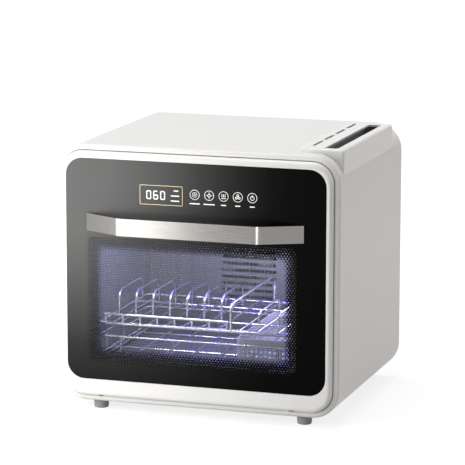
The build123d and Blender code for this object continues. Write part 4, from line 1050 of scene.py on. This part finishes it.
@dataclass
class WireRacks:
    """The upper and lower racks, bent from round wire, and the perforated basket."""

    # Radius of the rings' bends and of each kind of wire.
    bend: float = 12.0
    frame_wire: float = 2.5
    cross_wire: float = 2.0
    floor_wire: float = 1.5
    # How deep a floor wire is welded in, and the lower rack's floor wires and side margin.
    floor_sink: float = 0.7
    floor_wires: int = 8
    floor_margin: float = 14.0
    # Radius of the hoops' bends, and how far above the ring's middle the hoops and posts start.
    tall_bend: float = 16.0
    low_bend: float = 8.0
    hoop_foot: float = 1.2
    fence_posts: int = 8
    fence_foot: float = 1.0
    # How far a rim post starts above the lower ring and stops below the rim.
    rim_post_ends: tuple[float, float] = (1.5, 0.5)
    basket_wall: float = 1.5
    basket_corner: float = 8.0
    basket_corner_steps: int = 4
    basket_rows: int = 5
    # The wall's cells, the bars between them, the plain brim, and the rim's inset and radius.
    basket_cell: float = 7.0
    basket_bar: float = 1.5
    basket_brim: float = 2.0
    basket_rim: tuple[float, float] = (1.1, 1.6)
    basket_seam: float = 0.05
    # The bottom's cells along X and Y, its bars, its inset from the wall and its lift.
    bottom_cells: tuple[int, int] = (9, 19)
    bottom_bar: float = 3.0
    bottom_inset: float = 0.5
    bottom_lift: float = 0.1
    # Middle lines of the main wires, read from the frame.
    side_x: tuple[float, float] = field(init=False)
    end_y: tuple[float, float] = field(init=False)
    cross_y: tuple[float, float] = field(init=False)
    upper_z: float = field(init=False)
    lower_z: float = field(init=False)
    rim_z: float = field(init=False)

    def __post_init__(self) -> None:
        """Reads the middle lines of the main wires from the frame."""
        low, high = spans("rack_rim")
        flat = (high.z - low.z) / 2 * FLAT_REACH
        self.side_x = (low.x + flat, high.x - flat)
        self.end_y = (low.y + flat, high.y - flat)
        self.rim_z = (low.z + high.z) / 2
        hoops = spans("plate_hoops")
        self.cross_y = (hoops[0].y + self.floor_wire, hoops[1].y - self.floor_wire)
        self.upper_z = spans("upper_rack")[0].z + self.frame_wire
        self.lower_z = spans("lower_rack")[0].z + self.frame_wire

    @property
    def divider_x(self) -> float:
        """Returns the divider's place from side to side."""
        low, high = spans("divider_hoop")
        return (low.x + high.x) / 2

    @property
    def low_hoops_x(self) -> list[float]:
        """Returns the places of the low hoops."""
        return [(low.x + high.x) / 2 for low, high in solid_boxes("bowl_hoops")]

    @property
    def fence_x(self) -> list[float]:
        """Returns the places of the fence's posts."""
        low, high = spans("rack_fence")
        return even_places(low.x + self.floor_wire, high.x - self.floor_wire, self.fence_posts)

    def build(self) -> None:
        """Bends every wire and moulds the basket."""
        self.upper()
        self.hoops()
        self.lower()
        self.basket()

    def ring(self, shape: BMesh, z: float, radius: float) -> None:
        """Adds a closed ring of wire round the rack.

        Args:
            shape: mesh that gets the ring.
            z: its height, in millimetres.
            radius: the wire's radius, in millimetres.
        """
        (left, right), (front, back) = self.side_x, self.end_y
        corners = [(left, front, z), (right, front, z), (right, back, z), (left, back, z)]
        bend_wire(shape, corners, radius, self.bend, closed=True)

    def floor(self, shape: BMesh, z: float, places: list[float]) -> None:
        """Adds a ring with its cross wires and floor wires.

        Args:
            shape: mesh that gets the wires.
            z: height of the ring, in millimetres.
            places: X of each floor wire, in millimetres.
        """
        self.ring(shape, z, self.frame_wire)
        for y in self.cross_y:
            bend_wire(shape, [(x, y, z) for x in self.side_x], self.cross_wire)
        rise = z + self.cross_wire + self.floor_wire - self.floor_sink
        for x in places:
            bend_wire(shape, [(x, y, rise) for y in self.end_y], self.floor_wire)

    def upper(self) -> None:
        """Bends the upper rack and its front fence."""
        fence, low_hoops = self.fence_x, self.low_hoops_x
        places = [(a + b) / 2 for a, b in zip(fence, fence[1:])]
        places += [(self.divider_x + low_hoops[0]) / 2]
        places += [(a + b) / 2 for a, b in zip(low_hoops, low_hoops[1:])]
        shape = bmesh.new()
        self.floor(shape, self.upper_z, places)
        finished(shape, "upper_rack_wires", RACK_WIRE, "upper_drawer", ("upper_rack",))
        shape = bmesh.new()
        front = self.end_y[0]
        top = spans("rack_fence")[1].z - self.cross_wire
        ends = (fence[0] - self.floor_wire, fence[-1] + self.floor_wire)
        bend_wire(shape, [(x, front, top) for x in ends], self.cross_wire)
        heights = (self.upper_z + self.fence_foot, top)
        for x in fence:
            bend_wire(shape, [(x, front, z) for z in heights], self.floor_wire)
        finished(shape, "fence_wires", RACK_WIRE, "upper_drawer", ("rack_fence",))

    def hoops(self) -> None:
        """Bends the divider, the tall hoops and the low hoops across the upper rack."""
        thin, thick = self.floor_wire, self.cross_wire
        tall, low = self.tall_bend, self.low_bend
        foot = self.upper_z + self.hoop_foot
        for name, node, places, (front, back), bend, wire in (
            ("divider_wire", "divider_hoop", [self.divider_x], self.end_y, tall, thick),
            ("tall_hoop_wires", "plate_hoops", self.fence_x[:-1], self.cross_y, tall, thin),
            ("low_hoop_wires", "bowl_hoops", self.low_hoops_x, self.cross_y, low, thin),
        ):
            top = spans(node)[1].z - wire
            shape = bmesh.new()
            for x in places:
                route = [(x, front, foot), (x, front, top), (x, back, top), (x, back, foot)]
                bend_wire(shape, route, wire, bend)
            finished(shape, name, RACK_WIRE, "upper_drawer", (node,))

    def lower(self) -> None:
        """Bends the lower rack, its raised rim and the posts between them."""
        left, right = self.side_x
        first, last = left + self.floor_margin, right - self.floor_margin
        places = even_places(first, last, self.floor_wires)
        shape = bmesh.new()
        self.floor(shape, self.lower_z, places)
        finished(shape, "lower_rack_wires", RACK_WIRE, "lower_drawer", ("lower_rack",))
        shape = bmesh.new()
        self.ring(shape, self.rim_z, self.cross_wire)
        finished(shape, "rim_wire", RACK_WIRE, "lower_drawer", ("rack_rim",))
        shape = bmesh.new()
        heights = (self.lower_z + self.rim_post_ends[0], self.rim_z - self.rim_post_ends[1])
        for low, high in solid_boxes("rim_posts"):
            middle = (low + high) / 2
            bend_wire(shape, [(middle.x, middle.y, z) for z in heights], self.floor_wire)
        finished(shape, "rim_post_wires", RACK_WIRE, "lower_drawer", ("rim_posts",))

    def basket(self) -> None:
        """Moulds the basket: a perforated band, a perforated bottom and a round rim."""
        start, end = spans("cutlery_basket")
        shape = self.basket_band(start, end)
        joined(shape, self.basket_bottom(start, end))
        inset, radius = self.basket_rim
        left, right = start.x + inset, end.x - inset
        front, back = start.y + inset, end.y - inset
        z = end.z - inset
        ring = [(left, front, z), (right, front, z), (right, back, z), (left, back, z)]
        bend_wire(shape, ring, radius, self.basket_corner - inset, closed=True)
        finished(shape, "perforated_basket", GREY_PP, "lower_drawer", ("cutlery_basket",))

    def basket_band(self, start: Vector, end: Vector) -> BMesh:
        """Makes the basket's upright wall, with square holes and round corners.

        Args:
            start: the basket's lowest corner, in millimetres.
            end: its highest corner, in millimetres.

        Returns:
            The new mesh, in metres.
        """
        corner, brim = self.basket_corner, self.basket_brim
        step = (end.z - start.z - brim) / self.basket_rows
        shape = bmesh.new()
        tip = bmesh.ops.create_vert(shape, co=point(start.x + corner, start.y, start.z))["vert"]
        for _ in range(self.basket_rows):
            tip = bmesh.ops.extrude_vert_indiv(shape, verts=tip)["verts"]
            bmesh.ops.translate(shape, vec=point(0, 0, step), verts=tip)
        front = list(shape.edges)
        wide = end.x - start.x - 2 * corner
        deep = end.y - start.y - 2 * corner
        cells = []
        centre = Vector((start.x + corner, start.y + corner, start.z))
        for length, way in (
            (wide, Vector((1, 0, 0))),
            (deep, Vector((0, 1, 0))),
            (wide, Vector((-1, 0, 0))),
            (deep, Vector((0, -1, 0))),
        ):
            count = round(length / self.basket_cell)
            for _ in range(count):
                grown = bmesh.ops.extrude_edge_only(shape, edges=front)["geom"]
                verts = only(grown, BMVert)
                bmesh.ops.translate(shape, vec=way * (length / count * MM), verts=verts)
                front = [e for e in only(grown, BMEdge) if set(verts).issuperset(e.verts)]
                cells += only(grown, BMFace)
            centre += way * length
            spun = bmesh.ops.spin(
                shape,
                geom=[*front, *{vert for edge in front for vert in edge.verts}],
                cent=centre * MM,
                axis=(0, 0, 1),
                angle=QUARTER,
                steps=self.basket_corner_steps,
                use_merge=False,
            )
            front = only(spun["geom_last"], BMEdge)
        bmesh.ops.remove_doubles(shape, verts=shape.verts, dist=self.basket_seam * MM)
        low, high = start.z + step, end.z - step - brim
        inner = [face for face in cells if low < face.calc_center_median().z / MM < high]
        bmesh.ops.inset_individual(shape, faces=inner, thickness=self.basket_bar * MM, depth=0.0)
        bmesh.ops.delete(shape, geom=inner, context="FACES_ONLY")
        bmesh.ops.recalc_face_normals(shape, faces=shape.faces)
        bmesh.ops.solidify(shape, geom=list(shape.faces), thickness=self.basket_wall * MM)
        return shape

    def basket_bottom(self, start: Vector, end: Vector) -> BMesh:
        """Makes the basket's bottom, with square holes and round corners.

        Args:
            start: the basket's lowest corner, in millimetres.
            end: its highest corner, in millimetres.

        Returns:
            The new mesh, in metres.
        """
        shape = bmesh.new()
        inset = self.bottom_inset
        wide, deep = end.x - start.x - 2 * inset, end.y - start.y - 2 * inset
        size = Matrix.Diagonal((wide * MM, deep * MM, 1.0, 1.0))
        middle = (start + end) / 2
        place = Matrix.Translation(point(middle.x, middle.y, start.z + self.bottom_lift))
        columns, rows = self.bottom_cells
        bmesh.ops.create_grid(
            shape, x_segments=columns, y_segments=rows, size=0.5, matrix=place @ size
        )
        cells = [face for face in shape.faces if all(len(e.link_faces) == 2 for e in face.edges)]
        bmesh.ops.inset_individual(shape, faces=cells, thickness=self.bottom_bar * MM, depth=0.0)
        bmesh.ops.delete(shape, geom=cells, context="FACES_ONLY")
        corners = [vert for vert in shape.verts if vert.is_boundary and len(vert.link_edges) == 2]
        radius = self.basket_corner - inset
        rounded(shape, corners, radius, self.basket_corner_steps, Rounding.CORNERS)
        bmesh.ops.solidify(shape, geom=list(shape.faces), thickness=-self.basket_wall * MM)
        return shape


@dataclass(frozen=True)
class Bar:
    """A printed bar, placed from the middle of the sign that it belongs to."""

    x: float
    z: float
    wide: float
    tall: float
    corner: float = 0.0
    steps: int = EDGE_STEPS

    def shape(self) -> BMesh:
        """Returns the bar's new mesh, in metres."""
        return front_plate(self.wide, self.tall, PRINT_DEPTH, self.corner, self.steps)


@dataclass(frozen=True)
class Ring:
    """A printed ring, placed from the middle of the sign that it belongs to."""

    x: float
    z: float
    outer: float
    inner: float
    sides: int

    def shape(self) -> BMesh:
        """Returns the ring's new mesh, in metres."""
        return front_ring(self.outer, self.inner, PRINT_DEPTH, self.sides)


@dataclass
class Door(SubAssembly):
    """The drop-down door with its printed glass, handle, seal and controls."""

    finishes: dict[str, Finish] = field(
        default_factory=lambda: {
            "door_frame": GLOSS_ABS,
            # The door glass's enamel carries a painted reflection.
            "front_glass": DOOR_GLASS,
            "door_inner_panel": MATT_ABS,
            "inner_window": CLEAR_GLASS,
            "door_gasket": SEAL_RUBBER,
            "handle_bar": HANDLE_STEEL,
            "strike_plates": ZINC_SHEET,
            "touch_board": CIRCUIT_BOARD,
            "display_module": DISPLAY_ACRYLIC,
            "keys_cover": BLACK_PBT,
        }
    )
    # Each drop is measured from the glass's upper edge.
    print_sink: float = 0.02
    display_drop: float = 50.0
    frame_x: tuple[float, float] = (-85.3, -18.3)
    frame_tall: float = 29.4
    line: float = 0.8
    digits_x: tuple[float, ...] = (-71.2, -60.3, -49.4)
    digit_wide: float = 7.9
    digit_tall: float = 13.4
    stroke: float = 1.8
    stroke_gap: float = 0.2
    stroke_round: float = 0.3
    # Bars beside the digits, placed from the display's height.
    side_bars: tuple[Bar, ...] = (
        Bar(-28.6, 7.7, 7.5, 1.7, 0.7),
        Bar(-30.1, 0.1, 13.5, 1.7, 0.7),
        Bar(-30.1, -7.5, 13.5, 1.7, 0.7),
    )
    keys_drop: float = 46.4
    key_ring: Ring = Ring(0.0, 0.0, 7.5, 6.75, 40)
    # X of each key, the length of the bar under it, and its sign.
    keys: tuple[tuple[float, float, tuple[Bar | Ring, ...]], ...] = (
        # A ring round a ring.
        (0.5, 16.0, (Ring(0.0, 0.0, 3.9, 3.3, 28), Ring(0.0, 0.0, 1.7, 1.0, 20))),
        # A lamp: a ring with four short rays.
        (
            22.9,
            17.5,
            (
                Ring(0.0, 0.0, 2.6, 1.6, 20),
                Bar(4.2, 0.0, 1.9, 0.8),
                Bar(0.0, -4.2, 0.8, 1.9),
                Bar(-4.2, 0.0, 1.9, 0.8),
                Bar(0.0, 4.2, 0.8, 1.9),
            ),
        ),
        # Warm air: three upright strokes over a bar.
        (
            45.1,
            8.0,
            (
                Bar(-2.4, 1.0, 1.0, 4.6, 0.45),
                Bar(0.0, 1.0, 1.0, 4.6, 0.45),
                Bar(2.4, 1.0, 1.0, 4.6, 0.45),
                Bar(0.0, -3.0, 7.4, 1.0, 0.4),
            ),
        ),
        # Moving air: three small rings in a triangle.
        (
            67.0,
            8.0,
            (
                Ring(0.0, 2.5, 2.0, 1.0, 18),
                Ring(-2.165, -1.25, 2.0, 1.0, 18),
                Ring(2.165, -1.25, 2.0, 1.0, 18),
            ),
        ),
        # Start: a ring with an upright stroke at its top.
        (89.3, 8.0, (Ring(0.0, -0.4, 3.4, 2.5, 24), Bar(0.0, 2.2, 0.9, 4.4, 0.4))),
    )
    key_bar_drop: float = 13.2
    key_bar_tall: float = 1.7
    key_bar_round: float = 0.7

    def build(self, nodes: dict[str, bpy.types.Object]) -> None:
        """Dresses the door's nodes and prints its glass.

        Args:
            nodes: the frame's objects by name.
        """
        super().build(nodes)
        top = spans("front_glass")[1].z
        self.display_line(top - self.display_drop)
        self.lit_digits(top - self.display_drop)
        self.printed_keys(top - self.keys_drop)

    def set_on(self, shape: BMesh, mark: Bar | Ring, x: float, z: float) -> None:
        """Sets a print on the glass, at its sign's middle and sunk so that it doesn't float."""
        face = spans("front_glass")[0].y + self.print_sink
        joined(shape, mark.shape(), Matrix.Translation(point(x + mark.x, face, z + mark.z)))

    def display_line(self, z: float) -> None:
        """Prints the thin line round the display.

        Args:
            z: height of the display's middle, in millimetres.
        """
        shape = bmesh.new()
        left, right = self.frame_x
        line, wide, tall = self.line, right - left, self.frame_tall
        for side in (-0.5, 0.5):
            self.set_on(shape, Bar(0.0, side * (tall - line), wide, line), (left + right) / 2, z)
            self.set_on(shape, Bar(side * (wide - line), 0.0, line, tall), (left + right) / 2, z)
        finished(shape, "display_line", GOLD_INK, "door")

    def lit_digits(self, z: float) -> None:
        """Lights the three seven-segment digits and the bars beside them.

        Args:
            z: height of the display's middle, in millimetres.
        """
        wide, stroke = self.digit_wide - self.stroke, self.stroke
        half = (self.digit_tall - stroke) / 2
        corner = stroke * self.stroke_round
        levels = {
            name: Bar(0.0, rise, wide - self.stroke_gap, stroke, corner, 1)
            for name, rise in (("top", half), ("middle", 0.0), ("bottom", -half))
        }
        uprights = {
            name: Bar(side * wide / 2, way * half / 2, stroke, half - self.stroke_gap, corner, 1)
            for name, side, way in (
                ("upper_left", -1, 1),
                ("upper_right", 1, 1),
                ("lower_left", -1, -1),
                ("lower_right", 1, -1),
            )
        }
        segments = levels | uprights
        shape = bmesh.new()
        for x, dark in zip(self.digits_x, ("middle", "upper_right", "middle")):
            for name in sorted(set(segments) - {dark}):
                self.set_on(shape, segments[name], x, z)
        for bar in self.side_bars:
            self.set_on(shape, bar, 0.0, z)
        finished(shape, "lit_digits", WHITE_INK_LIT_AND_PAINTED_GLOW, "door")

    def printed_keys(self, z: float) -> None:
        """Prints the five round keys with plain signs and a bar under each.

        Args:
            z: height of the keys' middles, in millimetres.
        """
        shape = bmesh.new()
        for x, wide, sign in self.keys:
            bar = Bar(0.0, -self.key_bar_drop, wide, self.key_bar_tall, self.key_bar_round)
            for mark in (self.key_ring, *sign, bar):
                self.set_on(shape, mark, x, z)
        # The keys' print glows through its white ink, which is painted light.
        finished(shape, "printed_keys", WHITE_INK_LIT_AND_PAINTED_GLOW, "door")


@dataclass
class AirUnit(SubAssembly):
    """The fan, heater and duct behind the chamber."""

    finishes: dict[str, Finish] = field(
        default_factory=lambda: {
            "air_grille": LINER_STEEL,
            "air_duct": ZINC_SHEET,
            "ptc_heater": HEATER_FINS,
            "fan_frame": BLACK_PBT,
            "fan_motor": ZINC_SHEET,
            "fan_impeller": BLACK_PBT,
        }
    )


@dataclass
class Electronics(SubAssembly):
    """The power board above the chamber and what stands on it."""

    finishes: dict[str, Finish] = field(
        default_factory=lambda: {
            "board_standoffs": MATT_ABS,
            "power_board": CIRCUIT_BOARD,
            "board_components": COMPONENTS,
        }
    )


@dataclass
class Fasteners:
    """Cross-recessed pan-head screws in place of each plain screw."""

    # Cells across the head, its dome and its recess as shares of the head's height.
    cells: int = 7
    dome: float = 0.3
    recess: float = 0.55
    # The head's height, and the most of the whole length that it takes.
    head_tall: float = 2.4
    head_share: float = 0.4
    # The shank and its tip, as shares of the head's radius, and the tip's height.
    shank_sides: int = 10
    shank_share: float = 0.5
    shank_sink: float = 0.2
    tip_share: float = 0.28
    tip_tall: float = 1.0
    crease: float = 28.0
    groups: tuple[tuple[str, str, Facing], ...] = (
        ("rear_screws", "cabinet", Facing.BACK),
        ("inlet_screws", "cabinet", Facing.BACK),
        ("hinge_screws", "cabinet", Facing.FRONT),
        ("foot_screws", "cabinet", Facing.DOWN),
        ("door_screws", "door", Facing.BACK),
        ("handle_screws", "door", Facing.BACK),
    )

    def build(self) -> None:
        """Makes each group of screws where the frame has them."""
        for node, body, way in self.groups:
            shape = bmesh.new()
            for low, high in solid_boxes(node):
                size = high - low
                length = size.z if way is Facing.DOWN else size.y
                radius = (size.x if way is Facing.DOWN else min(size.x, size.z)) / 2
                tip = (low + high) / 2
                if way is Facing.FRONT:
                    tip.y = low.y
                elif way is Facing.BACK:
                    tip.y = high.y
                else:
                    tip.z = low.z
                place = Matrix.Translation(tip * MM) @ way.value
                joined(shape, self.screw(radius, length), place)
            finished(shape, "cross_" + node, ZINC_SCREW, body, (node,), self.crease)

    def screw(self, radius: float, length: float) -> BMesh:
        """Makes one screw with its head's top at zero and its shank below.

        Args:
            radius: the head's radius, in millimetres.
            length: the whole length, in millimetres.

        Returns:
            The new mesh, in metres.
        """
        head = min(self.head_tall, length * self.head_share)
        shape = bmesh.new()
        bmesh.ops.create_grid(shape, x_segments=self.cells, y_segments=self.cells, size=1.0)
        middle, last = self.cells // 2, self.cells - 1
        cross = []
        for face in shape.faces:
            where = face.calc_center_median()
            cell = [int((share + 1) / 2 * self.cells) for share in where.xy]
            if middle in cell and 0 < min(cell) and max(cell) < last:
                cross.append(face)
        for vert in shape.verts:
            u, v = vert.co.x, vert.co.y
            vert.co.x = u * math.sqrt(1 - v * v / 2)
            vert.co.y = v * math.sqrt(1 - u * u / 2)
            vert.co.z = -self.dome * head * vert.co.xy.length_squared / radius
        rim = [edge for edge in shape.edges if edge.is_boundary]
        bmesh.ops.scale(shape, vec=Vector((radius, radius, radius)) * MM, verts=shape.verts)
        extruded(shape, cross, point(0, 0, -self.recess * head))
        drop = bmesh.ops.extrude_edge_only(shape, edges=rim)["geom"]
        for vert in only(drop, BMVert):
            vert.co.z = -head * MM
        edges = [edge for edge in only(drop, BMEdge) if edge.is_boundary]
        bmesh.ops.contextual_create(shape, geom=edges)
        wide, tip = radius * self.shank_share, radius * self.tip_share
        start = self.shank_sink - head
        outline = [(0.0, start), (wide, start), (wide, self.tip_tall - length)]
        outline += [(tip, -length), (0.0, -length)]
        joined(shape, turned(outline, self.shank_sides))
        return shape


@dataclass(frozen=True)
class SoftBox:
    """An area light: its place in millimetres, its two sides in metres, watts and colour.

    A light of the room aims at the object. One in the chamber has its drop below the
    chamber's roof as its height, and aims its own way.
    """

    name: str
    place: tuple[float, float, float]
    size: tuple[float, float]
    power: float
    colour: str = WHITE
    way: tuple[float, float, float] = (0.0, 0.0, -1.0)


@dataclass
class Studio:
    """A pale floor, soft light from the front left and above, and the camera."""

    # The camera's place in metres, its turn in degrees, and where the room's lights aim.
    camera_place: tuple[float, float, float] = (1.2517, -3.8324, 1.0142)
    camera_turn: tuple[float, float, float] = (79.34, -0.07, 18.03)
    lens: float = 207.3
    sensor: float = 36.0
    aim: tuple[float, float, float] = (0.0, 0.0, 200.0)
    ambient: float = 0.13
    # The floor's half size and the ring where it clears to white, both in metres.
    floor_colour: str = "#A8A8A8"
    floor_size: float = 15.0
    floor_cells: int = 8
    floor_lift: float = 0.78
    floor_clear: tuple[float, float] = (0.45, 1.3)
    room: tuple[SoftBox, ...] = (
        SoftBox("key_front_left", (-1500, -2300, 1300), (1.6, 1.6), 6.5, "#FFFDFA"),
        SoftBox("near_left", (-490, -640, 290), (0.62, 0.62), 5.5, "#FFFEFC"),
        SoftBox("bend_strip", (250, -1150, 170), (0.12, 0.12), 0.9),
        SoftBox("right_soft", (2200, 300, 900), (1.4, 1.4), 10.5, "#FFF7F4"),
        SoftBox("top_soft", (-200, 100, 2300), (2.0, 2.0), 33.0),
    )
    chamber: tuple[SoftBox, ...] = (
        SoftBox("violet_front", (-10, -45, 21), (0.26, 0.05), 0.3, "#7C6CFF"),
        SoftBox("violet_back", (-10, 55, 21), (0.26, 0.05), 0.4, "#7C6CFF"),
        SoftBox("white_front", (-60, -120, 14), (0.2, 0.03), 0.7, "#FAFAFF", (0, 0.25, -1)),
        SoftBox("fence_strip", (-65, -149, 152), (0.24, 0.035), 0.02, way=(0, 1, 0)),
        SoftBox("tray_rake", (125, -10, 200), (0.2, 0.01), 0.2, "#8C7CFF", (-1, 0, -0.1)),
        SoftBox("left_wash", (135, 60, 85), (0.13, 0.12), 0.6, "#DDDAFF", (-1, -0.2, 0)),
    )

    def build(self) -> None:
        """Sets up the world, floor, lights and camera."""
        self.world()
        self.floor()
        for lamp in self.room:
            place = Vector(lamp.place)
            self.light(lamp, place, Vector(self.aim) - place)
        roof = spans("inner_liner")[1].z
        for lamp in self.chamber:
            x, y, drop = lamp.place
            self.light(lamp, Vector((x, y, roof - drop)), Vector(lamp.way))
        self.camera()

    def seen(self, tree: bpy.types.NodeTree) -> Socket:
        """Adds the test for rays that show the background.

        Args:
            tree: the node tree that gets it.

        Returns:
            A socket that is one for camera, glossy and transmission rays.
        """
        rays = add_node(tree, "ShaderNodeLightPath").outputs
        most = rays["Is Camera Ray"]
        for name in ("Is Glossy Ray", "Is Transmission Ray"):
            both = {0: most, 1: rays[name]}
            most = add_node(tree, MATH, {"operation": "MAXIMUM"}, both).outputs[0]
        return most

    def world(self) -> None:
        """Makes the world white to the eye and soft as a light."""
        made = bpy.data.worlds.new("studio_world")
        bpy.context.scene.world = made
        made.use_nodes = True
        tree = made.node_tree
        tree.nodes.clear()
        shades = {0: self.seen(tree)}
        for slot, strength in ((1, self.ambient), (2, 1.0)):
            look = {"Color": linear(WHITE), "Strength": strength}
            shades[slot] = add_node(tree, "ShaderNodeBackground", look).outputs[0]
        mixed = add_node(tree, "ShaderNodeMixShader", {}, shades)
        add_node(tree, "ShaderNodeOutputWorld", {}, {"Surface": mixed.outputs[0]})

    def floor(self) -> None:
        """Lays a large pale floor that keeps the object's shadow."""
        shape = bmesh.new()
        cells = self.floor_cells
        bmesh.ops.create_grid(shape, x_segments=cells, y_segments=cells, size=self.floor_size)
        mesh = bpy.data.meshes.new("pale_floor")
        shape.to_mesh(mesh)
        shape.free()
        mesh.materials.append(self.sweep())
        floor = bpy.data.objects.new("pale_floor", mesh)
        bpy.context.scene.collection.objects.link(floor)

    def sweep(self) -> bpy.types.Material:
        """Builds the floor's material: matt paper that clears to white away from the object.

        Returns:
            The new material.
        """
        made = bpy.data.materials.new("matt_white_sweep")
        made.use_nodes = True
        tree = made.node_tree
        tree.nodes.clear()
        matt = add_node(tree, "ShaderNodeBsdfDiffuse", {"Color": linear(self.floor_colour)})
        place = add_node(tree, "ShaderNodeTexCoord").outputs["Object"]
        length = {"operation": "LENGTH"}
        away = add_node(tree, "ShaderNodeVectorMath", length, {0: place}).outputs["Value"]
        near, far = self.floor_clear
        ends = {"From Min": near, "From Max": far, "To Min": self.floor_lift, "To Max": 1.0}
        clear = add_node(tree, RANGE, ends, {"Value": away}).outputs["Result"]
        product = {0: self.seen(tree), 1: clear}
        share = add_node(tree, MATH, {"operation": "MULTIPLY"}, product).outputs[0]
        white = {"Color": linear(WHITE)}
        lift = add_node(tree, "ShaderNodeEmission", white, {"Strength": share})
        parts = {0: matt.outputs[0], 1: lift.outputs[0]}
        both = add_node(tree, "ShaderNodeAddShader", {}, parts)
        add_node(tree, "ShaderNodeOutputMaterial", {}, {"Surface": both.outputs[0]})
        return made

    def light(self, lamp: SoftBox, place: Vector, way: Vector) -> None:
        """Adds one area light.

        Args:
            lamp: its name, size, power and colour.
            place: where it stands, in millimetres.
            way: where it points.
        """
        data = bpy.data.lights.new(lamp.name, "AREA")
        data.shape = "RECTANGLE"
        data.size, data.size_y = lamp.size
        data.energy = lamp.power
        data.color = linear(lamp.colour)[:3]
        made = bpy.data.objects.new(lamp.name, data)
        made.location = place * MM
        made.rotation_euler = way.to_track_quat("-Z", "Y").to_euler()
        made.visible_camera = False
        bpy.context.scene.collection.objects.link(made)

    def camera(self) -> None:
        """Places the camera at the photograph's angle."""
        data = bpy.data.cameras.new("studio_camera")
        data.lens = self.lens
        data.sensor_width = self.sensor
        made = bpy.data.objects.new("studio_camera", data)
        made.location = self.camera_place
        made.rotation_euler = [math.radians(angle) for angle in self.camera_turn]
        bpy.context.scene.collection.objects.link(made)
        bpy.context.scene.camera = made


def main() -> None:
    """Builds the looks of every sub-assembly in order and keeps the sizes."""
    logging.basicConfig(level=logging.INFO, format="%(message)s")
    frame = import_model()
    nodes = frame["nodes"]
    bpy.context.scene.view_settings.view_transform = "Standard"
    Studio().build()
    Cabinet().build(nodes)
    Chamber().build(nodes)
    WireRacks().build()
    Door().build(nodes)
    AirUnit().build(nodes)
    Electronics().build(nodes)
    Fasteners().build()


if __name__ == "__main__":
    main()
